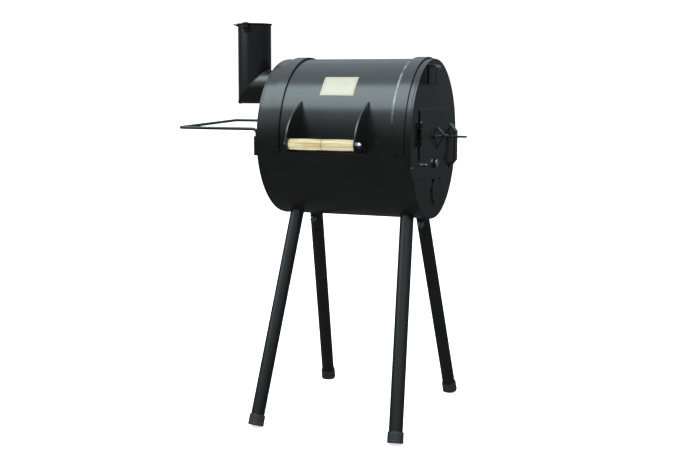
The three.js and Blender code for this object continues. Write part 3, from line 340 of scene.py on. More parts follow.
BEAD = 0.0016
facing_x = Matrix.Rotation(math.pi / 2, 4, "Y")
for name, x in (("weld_end_left", LEFT_FACE + END_PLATE_WALL),
                ("weld_end_right", RIGHT_FACE - END_PLATE_WALL)):
    bm = bmesh.new()
    bead_ring(bm, BARREL_RADIUS - 0.0006, BEAD, 480, (x, 0, 0), facing_x)
    finish_piece(bm, name, "root", [PAINT], smooth=60)


# ---- Chimney ----
# Two lengths of 3 inch pipe, both cut at 45 degrees and welded into a square corner: the short
# one leaves the left end plate level, and the tall one stands up beside the barrel.

stack_low, stack_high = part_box("chimney_stack")
STACK_X = (stack_low.x + stack_high.x) / 2 - BARREL_CENTRE.x
STACK_TOP = stack_high.z - BARREL_CENTRE.z
MITRE_CORNER = Vector((STACK_X, 0, FLUE_HEIGHT))
MITRE_NORMAL = Vector((-1, 0, 1)).normalized()


def pipe_to_mitre(name, node, start, end, keep_above):
    """A pipe from its open end, past the corner, cut back to the 45 degree plane."""
    bm = bmesh.new()
    turn = Z_AXIS.rotation_difference(end - start).to_matrix().to_4x4()
    ring = bmesh.ops.create_circle(bm, segments=64, radius=FLUE_RADIUS,
                                   matrix=Matrix.Translation(start) @ turn)["verts"]
    made = bmesh.ops.extrude_edge_only(bm, edges=list({e for v in ring for e in v.link_edges}))
    moved = [v for v in made["geom"] if isinstance(v, bmesh.types.BMVert)]
    bmesh.ops.translate(bm, verts=moved, vec=end - start)
    bmesh.ops.bisect_plane(bm, geom=bm.verts[:] + bm.edges[:] + bm.faces[:], dist=1e-6,
                           plane_co=MITRE_CORNER, plane_no=MITRE_NORMAL,
                           clear_outer=not keep_above, clear_inner=keep_above)
    bmesh.ops.recalc_face_normals(bm, faces=bm.faces)
    face = next(iter(bm.faces))
    from_axis = face.calc_center_median() - start
    from_axis -= from_axis.project(end - start)
    if face.normal.dot(from_axis) < 0:
        bmesh.ops.reverse_faces(bm, faces=bm.faces)
    bmesh.ops.solidify(bm, geom=bm.faces, thickness=FLUE_WALL)
    bevel_sharp(bm, 0.0004)
    finish_piece(bm, name, "root", [PAINT], [node])


pipe_to_mitre("elbow_pipe", "chimney_elbow", Vector((LEFT_FACE - 0.0003, 0, FLUE_HEIGHT)),
              MITRE_CORNER - X_AXIS * 2 * FLUE_RADIUS, False)
pipe_to_mitre("stack_pipe", "chimney_stack", Vector((STACK_X, 0, STACK_TOP)),
              MITRE_CORNER - Z_AXIS * 2 * FLUE_RADIUS, True)

bm = bmesh.new()
bead_ring(bm, FLUE_RADIUS + 0.0004, BEAD, 120, (LEFT_FACE - 0.0008, 0, FLUE_HEIGHT), facing_x)
finish_piece(bm, "weld_flue", "root", [PAINT], smooth=60)
bm = bmesh.new()
bead_ring(bm, FLUE_RADIUS - 0.0003, BEAD * 0.8, 120, MITRE_CORNER,
          Matrix.Rotation(-math.pi / 4, 4, "Y"), stretch=math.sqrt(2))
finish_piece(bm, "weld_mitre", "root", [PAINT], smooth=60)


# ---- Pieces cut from plate and bar ----
# Lugs, brackets, hinge halves, guides and the air flap are laser-cut or bent from flat bar, with
# broken edges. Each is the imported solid's own shape, with its flat faces joined and its edges rounded.


def broken_edges(node, body, material, width=0.0004, name=None, smooth=38):
    bm = bmesh.new()
    bm.from_mesh(frame["nodes"][node].data)
    bmesh.ops.remove_doubles(bm, verts=bm.verts, dist=2e-6)
    bmesh.ops.dissolve_limit(bm, angle_limit=math.radians(0.5), verts=bm.verts, edges=bm.edges,
                             use_dissolve_boundaries=False)
    bevel_sharp(bm, width)
    return finish_piece(bm, name or node + "_finished", body, [material], [node],
                        centre=Vector((0, 0, 0)), smooth=smooth)


for node in ("damper_lug", "lid_hinge_fixed_left", "lid_hinge_fixed_right", "door_hinge_bracket_upper",
             "door_hinge_bracket_lower", "bolt_keeper", "hanger_bracket", "grate_ledge_front",
             "grate_ledge_rear"):
    broken_edges(node, "root", PAINT)
for node in ("lid_hinge_moving_left", "lid_hinge_moving_right"):
    broken_edges(node, "lid", PAINT)
for node in ("door_hinge_leaf", "bolt_yoke", "bolt_guide"):
    broken_edges(node, "door", PAINT)
FLAP_EDGE = 0.0012              # rounded a little more, so that the lever's outline shows
broken_edges("air_flap", "flap", PAINT, width=FLAP_EDGE)
broken_edges("damper_disc", "damper", PAINT, width=0.0006)
broken_edges("door_bolt", "bolt", PAINT, width=0.0008)


# ---- Lid ----
# The piece flame-cut out of the same pipe, so it follows the barrel's curve exactly. Two flat
# straps, rolled to the curve and welded on, cover the seams at its ends.

SHEET_GAP = 0.0003              # between the lid and what is welded to it
STRAP_THICKNESS = 0.0045

HIGHLIGHT_LINE_X = 0.153                # where the painted highlight line runs, from the middle of the barrel
LID_PAINT = stove_paint("stove_paint_painted_highlight", BARREL_CENTRE.x + HIGHLIGHT_LINE_X, BARREL_CENTRE.z + 0.04)

bm = bmesh.new()
turned_sheet(bm, (LID_LEFT, LID_RIGHT), BARREL_RADIUS, LID_FRONT_ANGLE, LID_REAR_ANGLE)
thicken_inwards(bm, BARREL_WALL)
bevel_sharp(bm, 0.0004)
soot_inside(bm, BARREL_RADIUS - BARREL_WALL / 2)
finish_piece(bm, "lid_sheet", "lid", [LID_PAINT, SOOT], ["lid_shell"])

for side in ("left", "right"):
    low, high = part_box(f"lid_strap_{side}")
    bm = bmesh.new()
    turned_sheet(bm, (low.x - BARREL_CENTRE.x, high.x - BARREL_CENTRE.x),
                 BARREL_RADIUS + SHEET_GAP + STRAP_THICKNESS, LID_FRONT_ANGLE, LID_REAR_ANGLE)
    thicken_inwards(bm, STRAP_THICKNESS)
    bevel_sharp(bm, 0.0009, segments=3)
    finish_piece(bm, f"strap_{side}", "lid", [PAINT], [f"lid_strap_{side}"])


# ---- Name plate ----
# A thin enamelled steel plate, rolled to the lid and left blank inside a printed border.
# The plate is swept in five bands, so that the border lines are faces of their own.

plate_low, plate_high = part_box("name_plate")
PLATE_MARGIN = 0.003
PLATE_LINE = 0.0007
PLATE_THICKNESS = 0.0008
PLATE_RADIUS = BARREL_RADIUS + SHEET_GAP + PLATE_THICKNESS


def cream_enamel():
    """Vitreous enamel fired on thin steel: cream, glossy, with a faint cloudiness."""
    material, tree, place = new_material("cream_enamel")
    cloud = add_node(tree, "ShaderNodeTexNoise", {"Vector": place}, Scale=60.0, Detail=3.0)
    tint = add_node(tree, "ShaderNodeMix", {"Factor": cloud.outputs["Fac"]}, data_type="RGBA",
                    input_6=linear("#9a917d"), input_7=linear("#a79d8b"))
    shader = add_node(tree, "ShaderNodeBsdfPrincipled", {"Base Color": tint.outputs[2]},
                      Roughness=0.35, IOR=1.5)
    return finish_material(material, tree, shader)


def printed_ink():
    """Brown-black ink, screen-printed on the enamel before its last firing."""
    material, tree, place = new_material("printed_ink")
    break_up = add_node(tree, "ShaderNodeTexNoise", {"Vector": place}, Scale=500.0, Detail=2.0)
    tint = add_node(tree, "ShaderNodeMix", {"Factor": break_up.outputs["Fac"]}, data_type="RGBA",
                    input_6=linear("#4a4434"), input_7=linear("#6e664f"))
    shader = add_node(tree, "ShaderNodeBsdfPrincipled", {"Base Color": tint.outputs[2]}, Roughness=0.5)
    return finish_material(material, tree, shader)


plate_left = plate_low.x - BARREL_CENTRE.x
plate_right = plate_high.x - BARREL_CENTRE.x
lowest = math.degrees(math.asin((plate_low.z - BARREL_CENTRE.z) / (BARREL_RADIUS + SHEET_GAP)))
highest = math.degrees(math.asin((plate_high.z - BARREL_CENTRE.z) / PLATE_RADIUS))
margin = math.degrees(PLATE_MARGIN / PLATE_RADIUS)
line = math.degrees(PLATE_LINE / PLATE_RADIUS)
stations = (plate_left, plate_left + PLATE_MARGIN, plate_left + PLATE_MARGIN + PLATE_LINE,
            plate_right - PLATE_MARGIN - PLATE_LINE, plate_right - PLATE_MARGIN, plate_right)
bands = (lowest, lowest + margin, lowest + margin + line,
         highest - margin - line, highest - margin, highest)
bm = bmesh.new()
for low, high in zip(bands, bands[1:]):
    turned_sheet(bm, stations, PLATE_RADIUS, low, high)
thicken_inwards(bm, PLATE_THICKNESS)
outer_face = PLATE_RADIUS - PLATE_THICKNESS / 4
for face in bm.faces:
    middle = face.calc_center_median()
    angle = math.degrees(math.atan2(middle.z, -middle.y))
    in_border = stations[1] < middle.x < stations[4] and bands[1] < angle < bands[4]
    in_blank = stations[2] < middle.x < stations[3] and bands[2] < angle < bands[3]
    if in_border and not in_blank and middle.yz.length > outer_face:
        face.material_index = 1
finish_piece(bm, "blank_name_plate", "lid", [cream_enamel(), printed_ink()],
             ["name_plate"])


# ---- Lid handle ----
# Two fin-shaped brackets cut from 4.5 mm plate are welded to the lid, and carry a steel rod with
# two turned wooden sleeves. A domed nut closes the rod at each end.

FIN_THICKNESS = 0.0045
FIN_TOP_ANGLE = 28.0
FIN_TOP_PULL = (0.48, 0.16)     # how far the bowed edge leaves its top, as shares of its width and height
FIN_NOSE_PULL = (0.05, 0.5)     # and how far it leaves the nose
FIN_CURVE_STEPS = 18
FIN_NOSE_STEPS = 8
FIN_BACK_STEPS = 24
fin_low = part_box("handle_bracket_left")[0]
rod_low, rod_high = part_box("handle_rod")
ROD_RADIUS = (rod_high.z - rod_low.z) / 2
HANDLE_Y = (rod_low.y + rod_high.y) / 2 - BARREL_CENTRE.y
HANDLE_Z = (rod_low.z + rod_high.z) / 2 - BARREL_CENTRE.z
NOSE_RADIUS = HANDLE_Y - (fin_low.y - BARREL_CENTRE.y)


def fin_outline(bm, x):
    """The bowed front edge, the round nose about the rod, and back along the lid's surface."""
    surface = BARREL_RADIUS + SHEET_GAP
    top = around(surface, FIN_TOP_ANGLE).yz
    front = Vector((HANDLE_Y - NOSE_RADIUS, HANDLE_Z))
    span = top.x - front.x
    drop = top.y - front.y
    controls = (top, Vector((top.x - FIN_TOP_PULL[0] * span, top.y - FIN_TOP_PULL[1] * drop)),
                Vector((front.x + FIN_NOSE_PULL[0] * span, front.y + FIN_NOSE_PULL[1] * drop)), front)
    points = []
    for i in range(FIN_CURVE_STEPS):
        t = i / FIN_CURVE_STEPS
        weights = ((1 - t) ** 3, 3 * t * (1 - t) ** 2, 3 * t * t * (1 - t), t ** 3)
        points.append(sum((c * w for c, w in zip(controls, weights)), Vector((0, 0))))
    for i in range(FIN_NOSE_STEPS + 1):
        angle = math.pi + math.pi / 2 * i / FIN_NOSE_STEPS
        points.append(Vector((HANDLE_Y + NOSE_RADIUS * math.cos(angle),
                              HANDLE_Z + NOSE_RADIUS * math.sin(angle))))
    for i in range(FIN_BACK_STEPS):
        t = i / FIN_BACK_STEPS
        points.append(around(surface, LID_FRONT_ANGLE + (FIN_TOP_ANGLE - LID_FRONT_ANGLE) * t).yz)
    verts = [bm.verts.new((x, *p)) for p in points]
    for a, b in zip(verts, verts[1:] + verts[:1]):
        bm.edges.new((a, b))


for side in ("left", "right"):
    low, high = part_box(f"handle_bracket_{side}")
    x = low.x - BARREL_CENTRE.x
    bm = bmesh.new()
    fin_outline(bm, x)
    circle(bm, ROD_RADIUS + 0.0003, x, HANDLE_Y, HANDLE_Z, steps=24)
    plate_from_outlines(bm, FIN_THICKNESS)
    bevel_sharp(bm, 0.0007, segments=2)
    finish_piece(bm, f"handle_fin_{side}", "lid", [PAINT], [f"handle_bracket_{side}"])


def turned_wood():
    """Beech turned on a lathe, sanded and oiled: pale straw, with fine grain along the handle,
    short darker pores, and a warmer tone where hands have darkened it."""
    material, tree, place = new_material("oiled_beech")
    along = add_node(tree, "ShaderNodeMapping", {"Vector": place}, Scale=(9.0, 260.0, 260.0))
    grain = add_node(tree, "ShaderNodeTexNoise", {"Vector": along.outputs["Vector"]}, Scale=1.0, Detail=6.0,
                     Roughness=0.6, Distortion=0.4)
    tone = add_node(tree, "ShaderNodeTexNoise", {"Vector": place}, Scale=38.0, Detail=2.0)
    wood = add_node(tree, "ShaderNodeValToRGB", {"Fac": grain.outputs["Fac"]})
    wood.color_ramp.elements[0].position = 0.3
    wood.color_ramp.elements[0].color = linear("#957b4f")
    wood.color_ramp.elements[1].position = 0.62
    wood.color_ramp.elements[1].color = linear("#b8ac85")
    warm = add_node(tree, "ShaderNodeMapRange", {"Value": tone.outputs["Fac"]},
                    From_Min=0.45, From_Max=0.75, To_Min=0.0, To_Max=0.5)
    tint = add_node(tree, "ShaderNodeMix", {"Factor": warm.outputs["Result"], "A": wood.outputs["Color"]},
                    data_type="RGBA", input_7=linear("#a1824b"))
    bump = add_node(tree, "ShaderNodeBump", {"Height": grain.outputs["Fac"]}, Strength=0.25, Distance=0.0003)
    shader = add_node(tree, "ShaderNodeBsdfPrincipled",
                      {"Base Color": tint.outputs[2], "Normal": bump.outputs["Normal"]},
                      Roughness=0.5, IOR=1.5)
    return finish_material(material, tree, shader)


def bright_zinc():
    """Zinc plate on steel: a bright, slightly blue grey metal with a fine cloudy variation."""
    material, tree, place = new_material("bright_zinc")
    cloud = add_node(tree, "ShaderNodeTexNoise", {"Vector": place}, Scale=180.0, Detail=3.0)
    tint = add_node(tree, "ShaderNodeMix", {"Factor": cloud.outputs["Fac"]}, data_type="RGBA",
                    input_6=linear("#b4b8bb"), input_7=linear("#d6d8d8"))
    gloss = add_node(tree, "ShaderNodeMapRange", {"Value": cloud.outputs["Fac"]}, To_Min=0.22, To_Max=0.42)
    shader = add_node(tree, "ShaderNodeBsdfPrincipled",
                      {"Base Color": tint.outputs[2], "Roughness": gloss.outputs["Result"]}, Metallic=1.0)
    return finish_material(material, tree, shader)


BEECH = turned_wood()
ZINC = bright_zinc()


def turned_piece(bm, profile, steps, place):
    """Spins (radius, height) points about Z, and moves the turned piece to its place."""
    row = [bm.verts.new((radius, 0, height)) for radius, height in profile]
    ends = list(zip(row, row[1:]))
    if profile[0][0] > 0:
        ends.append((row[-1], row[0]))
    line = [bm.edges.new(pair) for pair in ends]
    before = set(bm.verts) - set(row)
    bmesh.ops.spin(bm, geom=row + line, cent=(0, 0, 0), axis=Z_AXIS, angle=2 * math.pi,
                   steps=steps, use_merge=True, use_duplicate=False)
    made = [v for v in bm.verts if v not in before]
    bmesh.ops.remove_doubles(bm, verts=made, dist=1e-6)
    made = [v for v in bm.verts if v not in before]
    bmesh.ops.transform(bm, verts=made, matrix=place)
    bmesh.ops.recalc_face_normals(bm, faces=bm.faces)


SLEEVE_RADIUS = 0.0124
SLEEVE_SWELL = 0.0011           # how much fuller each sleeve is at its middle
along_x = Matrix(((0, 0, 1, 0), (1, 0, 0, 0), (0, 1, 0, 0), (0, 0, 0, 1)))
for side in ("left", "right"):
    low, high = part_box(f"handle_grip_{side}")
    length = high.x - low.x
    bore = ROD_RADIUS + 0.0003
    profile = [(bore, 0), (0.0106, 0), (0.0122, 0.0008), (0.0130, 0.0024)]
    for i in range(1, 12):
        t = i / 12
        profile.append((SLEEVE_RADIUS + SLEEVE_SWELL * math.sin(math.pi * t) ** 0.7,
                        0.0024 + (length - 0.0048) * t))
    profile += [(0.0130, length - 0.0024), (0.0122, length - 0.0008), (0.0106, length), (bore, length)]
    bm = bmesh.new()
    turned_piece(bm, profile, 48, Matrix.Translation((low.x - BARREL_CENTRE.x, HANDLE_Y, HANDLE_Z)) @ along_x)
    finish_piece(bm, f"wooden_sleeve_{side}", "lid", [BEECH], [f"handle_grip_{side}"],
                 smooth=50)

bm = bmesh.new()
rod_length = rod_high.x - rod_low.x
turned_piece(bm, [(0, 0), (ROD_RADIUS - 0.001, 0), (ROD_RADIUS, 0.001), (ROD_RADIUS, rod_length - 0.001),
                  (ROD_RADIUS - 0.001, rod_length), (0, rod_length)], 32,
             Matrix.Translation((rod_low.x - BARREL_CENTRE.x, HANDLE_Y, HANDLE_Z)) @ along_x)
finish_piece(bm, "handle_steel_rod", "lid", [ZINC], ["handle_rod"])


def hexagon(bm, across_flats, height, place):
    """A nut or bolt head: a hexagon with its corners rounded off at both faces."""
    made = bmesh.ops.create_cone(bm, cap_ends=True, segments=6, radius1=across_flats / math.sqrt(3),
                                 radius2=across_flats / math.sqrt(3), depth=height,
                                 matrix=place @ Matrix.Translation((0, 0, height / 2)))["verts"]
    edges = list({e for v in made for e in v.link_edges})
    bmesh.ops.bevel(bm, geom=edges, offset=0.0007, segments=2, profile=0.5, affect="EDGES", material=-1)


for side in ("left", "right"):
    low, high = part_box(f"handle_nut_{side}")
    facing = -1 if side == "left" else 1
    x = (high.x if side == "left" else low.x) - BARREL_CENTRE.x
    place = Matrix.Translation((x, HANDLE_Y, HANDLE_Z)) @ Matrix.Rotation(facing * math.pi / 2, 4, "Y")
    bm = bmesh.new()
    hexagon(bm, high.y - low.y, 0.0048, place)
    dome = [(0.0062, 0.0044), (0.006, 0.0062), (0.0045, 0.0080), (0.0022, 0.0090), (0, 0.0093)]
    turned_piece(bm, [(0, 0.0044), *dome], 24, place)
    finish_piece(bm, f"domed_nut_{side}", "lid", [ZINC], [f"handle_nut_{side}"])


# ---- Door ----
# A 3 mm steel panel that covers the doorway, with rounded corners, on a loose-pin hinge at the
# front. A long round bolt slides under a bent yoke and a guide, and its handle sticks straight out.

DOOR_CORNER = 0.005
DOOR_EDGE = 0.0012              # rounded a little more than the other plates, so it shows in soft light

bm = bmesh.new()
rounded_box_outline(bm, (door_low - BARREL_CENTRE).yz, (door_high - BARREL_CENTRE).yz, DOOR_CORNER,
                    door_low.x - BARREL_CENTRE.x)
plate_from_outlines(bm, door_high.x - door_low.x)
bevel_sharp(bm, DOOR_EDGE)
finish_piece(bm, "door_sheet", "door", [PAINT], ["door_panel"])

for node, body in (("door_hinge_pin", "root"), ("flap_bolt", "root"), ("flap_stop_pin", "root"),
                   ("damper_bolt", "root")):
    broken_edges(node, body, ZINC, width=0.0006)


# ---- Side rail ----
# An 8 mm round steel rod, bent four times into a U and hung in two welded sockets on the left end.
# A round section is swept straight, turned round each bend, and so on to the other end.

rail_low, rail_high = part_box("side_rail")
socket_low, socket_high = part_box("rail_socket_front")
RAIL_RADIUS = 0.004
RAIL_BEND = 0.012
socket_out = socket_low.x - BARREL_CENTRE.x
SOCKET_RADIUS = (socket_high.y - socket_low.y) / 2
rail_x_in = socket_out + SOCKET_RADIUS
rail_x_out = rail_low.x - BARREL_CENTRE.x + RAIL_RADIUS
rail_y = rail_high.y - BARREL_CENTRE.y - RAIL_RADIUS
SOCKET_DROP = 0.018             # from the middle of a bar down to its socket
RAIL_LEG = 0.062                # and down to the end of its leg
rail_heights = {side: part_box(f"rail_socket_{side}")[1].z - BARREL_CENTRE.z + SOCKET_DROP
                for side in ("front", "rear")}


def bent_rod(bm, corners, radius, bend, sides=16, bend_steps=8):
    """A rod through the corners, each one rounded to the bend radius."""
    heading = (corners[1] - corners[0]).normalized()
    turn = Z_AXIS.rotation_difference(heading).to_matrix().to_4x4()
    ring = bmesh.ops.create_circle(bm, cap_ends=True, segments=sides, radius=radius,
                                   matrix=Matrix.Translation(corners[0]) @ turn)["verts"]
    front = ring
    here = corners[0]
    for i in range(1, len(corners)):
        heading = (corners[i] - corners[i - 1]).normalized()
        last = i == len(corners) - 1
        stop = corners[i] - heading * (0 if last else bend)
        loop = list({e for v in front for e in v.link_edges if all(w in front for w in e.verts)})
        made = bmesh.ops.extrude_edge_only(bm, edges=loop)["geom"]
        front = [v for v in made if isinstance(v, bmesh.types.BMVert)]
        bmesh.ops.translate(bm, verts=front, vec=stop - here)
        here = stop
        if not last:
            leaving = (corners[i + 1] - corners[i]).normalized()
            pivot = stop + leaving * bend
            corner = heading.angle(leaving)
            edges = list({e for v in front for e in v.link_edges if all(w in front for w in e.verts)})
            spun = bmesh.ops.spin(bm, geom=front + edges, cent=pivot, axis=heading.cross(leaving),
                                  angle=corner, steps=bend_steps, use_merge=False, use_duplicate=False)
            front = [v for v in spun["geom_last"] if isinstance(v, bmesh.types.BMVert)]
            here = corners[i] + leaving * bend
    bmesh.ops.holes_fill(bm, edges=bm.edges, sides=sides)
    bmesh.ops.recalc_face_normals(bm, faces=bm.faces)


rail_path = []
for side, y in (("front", -rail_y), ("rear", rail_y)):
    height = rail_heights[side]
    path = [Vector((rail_x_in, y, height - RAIL_LEG)), Vector((rail_x_in, y, height)),
            Vector((rail_x_out, y, height))]
    rail_path += path if side == "front" else path[::-1]
bm = bmesh.new()
bent_rod(bm, rail_path, RAIL_RADIUS, RAIL_BEND)
finish_piece(bm, "rail_rod", "rail", [PAINT], ["side_rail"])

for side, y in (("front", -rail_y), ("rear", rail_y)):
    broken_edges(f"rail_socket_{side}", "root", PAINT, width=0.0006)


# ---- Legs ----
# Four lengths of 35 mm tube, splayed outwards and held on short sockets under the barrel by a
# bolt in a welded nut. Each leg's top is cut to the barrel's curve, and a rubber cap closes its foot.

LEG_RADIUS = 0.0175
LEG_WALL = 0.0026
CAP_HEIGHT = 0.028
CAP_SOLE = 0.009
FOOT_LIFT = 0.004
LEG_BOLT_DROP = 0.024
CAP_WALL = 0.0027
LEG_NUT_HEIGHT = 0.007
LEG_WASHER_HEIGHT = 0.0008
LEG_WASHER_RADIUS = 0.0072
LEG_TOP = Vector((0.152, 0.065, -0.198))
LEG_FOOT = Vector((0.188, 0.249, 0))


def moulded_rubber():
    """Black moulded rubber: matt, faintly grey with dust, and slightly rough to the touch."""
    material, tree, place = new_material("moulded_rubber")
    grime = add_node(tree, "ShaderNodeTexNoise", {"Vector": place}, Scale=90.0, Detail=5.0)
    tint = add_node(tree, "ShaderNodeMix", {"Factor": grime.outputs["Fac"]}, data_type="RGBA",
                    input_6=linear("#0f1011"), input_7=linear("#232527"))
    bump = add_node(tree, "ShaderNodeBump", {"Height": grime.outputs["Fac"]}, Strength=0.3, Distance=0.0003)
    shader = add_node(tree, "ShaderNodeBsdfPrincipled",
                      {"Base Color": tint.outputs[2], "Normal": bump.outputs["Normal"]}, Roughness=0.62)
    return finish_material(material, tree, shader)


RUBBER = moulded_rubber()


def land_on_barrel(ring, heading):
    """Slides each point of the tube's end along the tube, until it meets the barrel's surface."""
    target = BARREL_RADIUS + SHEET_GAP
    for vert in ring:
        y, z = vert.co.yz
        a = heading.y ** 2 + heading.z ** 2
        b = 2 * (y * heading.y + z * heading.z)
        c = y * y + z * z - target * target
        vert.co += heading * ((-b - math.sqrt(b * b - 4 * a * c)) / (2 * a))


def leg_tube(bm, foot, heading, start):
    """Outer and inner walls of the tube, joined by a ring at each end."""
    turn = Z_AXIS.rotation_difference(heading).to_matrix().to_4x4()
    place = Matrix.Translation(foot + heading * start) @ turn
    rings = []
    for radius in (LEG_RADIUS, LEG_RADIUS - LEG_WALL):
        base = bmesh.ops.create_circle(bm, segments=48, radius=radius, matrix=place)["verts"]
        made = bmesh.ops.extrude_edge_only(bm, edges=list({e for v in base for e in v.link_edges}))["geom"]
        top = [v for v in made if isinstance(v, bmesh.types.BMVert)]
        land_on_barrel(top, heading)
        rings.append((base, top))
    for outer, inner in zip(*rings):
        edges = {e for v in outer for e in v.link_edges if all(w in outer for w in e.verts)}
        edges |= {e for v in inner for e in v.link_edges if all(w in inner for w in e.verts)}
        bmesh.ops.bridge_loops(bm, edges=list(edges))
    bmesh.ops.recalc_face_normals(bm, faces=bm.faces)


for end, side in (("front", "left"), ("front", "right"), ("rear", "left"), ("rear", "right")):
    leg = f"{end}_{side}"
    sign = Vector((-1 if side == "left" else 1, -1 if end == "front" else 1))
    foot = Vector((sign.x * LEG_FOOT.x, sign.y * LEG_FOOT.y, FOOT_LIFT - BARREL_CENTRE.z))
    top = Vector((sign.x * LEG_TOP.x, sign.y * LEG_TOP.y, LEG_TOP.z))
    heading = (top - foot).normalized()
    length = (top - foot).length

    bm = bmesh.new()
    leg_tube(bm, foot, heading, CAP_SOLE + SHEET_GAP)
    bevel_sharp(bm, 0.0004, segments=1, degrees=60)
    finish_piece(bm, f"leg_{leg}", "root", [PAINT], [f"leg_tube_{leg}"])
    broken_edges(f"leg_socket_{leg}", "root", PAINT)

    upright = Matrix.Translation(foot) @ Z_AXIS.rotation_difference(heading).to_matrix().to_4x4()
    bore = LEG_RADIUS + SHEET_GAP
    outer = bore + CAP_WALL
    profile = [(0, 0), (outer - 0.0022, 0), (outer - 0.0006, 0.0007), (outer, 0.0024),
               (outer - 0.0002, 0.0068), (outer - 0.0009, 0.0078), (outer - 0.0002, 0.0088),
               (outer - 0.0004, CAP_HEIGHT - 0.0016), (outer - 0.0014, CAP_HEIGHT),
               (bore, CAP_HEIGHT), (bore, CAP_SOLE), (0, CAP_SOLE)]
    bm = bmesh.new()
    turned_piece(bm, profile, 56, upright)
    cut = bmesh.ops.bisect_plane(bm, geom=bm.verts[:] + bm.edges[:] + bm.faces[:], dist=1e-6,
                                 plane_co=(0, 0, -BARREL_CENTRE.z), plane_no=-Z_AXIS, clear_outer=True)
    edges = [e for e in cut["geom_cut"] if isinstance(e, bmesh.types.BMEdge)]
    bmesh.ops.contextual_create(bm, geom=edges)
    bmesh.ops.recalc_face_normals(bm, faces=bm.faces)
    finish_piece(bm, f"rubber_cap_{leg}", "root", [RUBBER], [f"foot_cap_{leg}"])

    inward = Vector((0, -sign.y, 0))
    inward = (inward - heading * inward.dot(heading)).normalized()
    seat = foot + heading * (length - LEG_BOLT_DROP)
    facing = Matrix.Translation(seat) @ Z_AXIS.rotation_difference(inward).to_matrix().to_4x4()
    bm = bmesh.new()
    out = LEG_RADIUS + SHEET_GAP
    washer_low = out + LEG_NUT_HEIGHT
    washer_high = washer_low + LEG_WASHER_HEIGHT
    hexagon(bm, 0.015, LEG_NUT_HEIGHT, facing @ Matrix.Translation((0, 0, out)))
    turned_piece(bm, [(0, washer_low), (LEG_WASHER_RADIUS, washer_low),
                      (LEG_WASHER_RADIUS, washer_high), (0, washer_high)], 32, facing)
    hexagon(bm, 0.013, 0.0047, facing @ Matrix.Translation((0, 0, washer_high)))
    turned_piece(bm, [(0, LEG_RADIUS - LEG_WALL), (0.0036, LEG_RADIUS - LEG_WALL),
                      (0.004, LEG_RADIUS - 0.002), (0.004, out + 0.001), (0, out + 0.001)], 24, facing)
    finish_piece(bm, f"leg_bolt_and_nut_{leg}", "root", [ZINC], [f"leg_bolt_{leg}"])


# ---- Grates ----
# Both grates lift out. Each is two long 5 mm round bars with 4 mm cross bars welded between them;
# the steel is bare and darkened by heat and fat.

GRATE_PITCH = 0.0165


def heat_darkened_steel():
    """Bare mild steel that has been through a few fires: grey-brown, with a dull oxide bloom."""
    material, tree, place = new_material("heat_darkened_steel")
    bloom = add_node(tree, "ShaderNodeTexNoise", {"Vector": place}, Scale=40.0, Detail=5.0, Roughness=0.6)
    tint = add_node(tree, "ShaderNodeValToRGB", {"Fac": bloom.outputs["Fac"]})
    tint.color_ramp.elements[0].position = 0.35
    tint.color_ramp.elements[0].color = linear("#4a4038")
    tint.color_ramp.elements[1].position = 0.65
    tint.color_ramp.elements[1].color = linear("#8a8580")
    gloss = add_node(tree, "ShaderNodeMapRange", {"Value": bloom.outputs["Fac"]}, To_Min=0.7, To_Max=0.35)
    shader = add_node(tree, "ShaderNodeBsdfPrincipled",
                      {"Base Color": tint.outputs["Color"], "Roughness": gloss.outputs["Result"]},
                      Metallic=0.9)
    return finish_material(material, tree, shader)


GRATE_STEEL = heat_darkened_steel()


def straight_bar(bm, start, end, radius, sides=10):
    turn = Z_AXIS.rotation_difference(end - start).to_matrix().to_4x4()
    bmesh.ops.create_cone(bm, cap_ends=True, segments=sides, radius1=radius, radius2=radius,
                          depth=(end - start).length, matrix=Matrix.Translation((start + end) / 2) @ turn)


for node in ("cooking_grate", "fire_grate"):
    low, high = (corner - BARREL_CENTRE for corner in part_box(node))
    rim = (high.z - low.z) / 2
    bar = rim * 0.8
    bm = bmesh.new()
    level = (low.z + high.z) / 2
    for y in (low.y + rim, high.y - rim):
        straight_bar(bm, Vector((low.x, y, level)), Vector((high.x, y, level)), rim)
    count = round((high.x - low.x - 4 * rim) / GRATE_PITCH)
    for i in range(count + 1):
        x = low.x + rim + (high.x - low.x - 2 * rim) * i / count
        straight_bar(bm, Vector((x, low.y + 2 * rim, level)), Vector((x, high.y - 2 * rim, level)), bar)
    finish_piece(bm, f"{node}_bars", "root", [GRATE_STEEL], [node])


# ---- Studio ----
# A pale floor that runs back under a plain bright backdrop, one large softbox over the front, a
# smaller one at the left, and a faintly blue dome that darkens below the horizon.

CAMERA_PLACE = Vector((0.9559, -2.5836, 0.8559)) + Vector((BARREL_CENTRE.x, BARREL_CENTRE.y, 0))
CAMERA_AZIMUTH = 20.83
CAMERA_ELEVATION = 7.81
CAMERA_ROLL = 0.3
FOCAL_PIXELS = 1047.0
IMAGE_WIDTH = 700

camera_data = bpy.data.cameras.new("camera")
camera_data.sensor_fit = "HORIZONTAL"
camera_data.sensor_width = 36.0
camera_data.lens = FOCAL_PIXELS * camera_data.sensor_width / IMAGE_WIDTH
camera = bpy.data.objects.new("camera", camera_data)
bpy.context.scene.collection.objects.link(camera)
azimuth = math.radians(CAMERA_AZIMUTH)
elevation = math.radians(CAMERA_ELEVATION)
camera.matrix_world = (Matrix.Translation(CAMERA_PLACE) @ Matrix.Rotation(azimuth, 4, "Z")
                       @ Matrix.Rotation(math.pi / 2 - elevation, 4, "X")
                       @ Matrix.Rotation(math.radians(CAMERA_ROLL), 4, "Z"))
bpy.context.scene.camera = camera

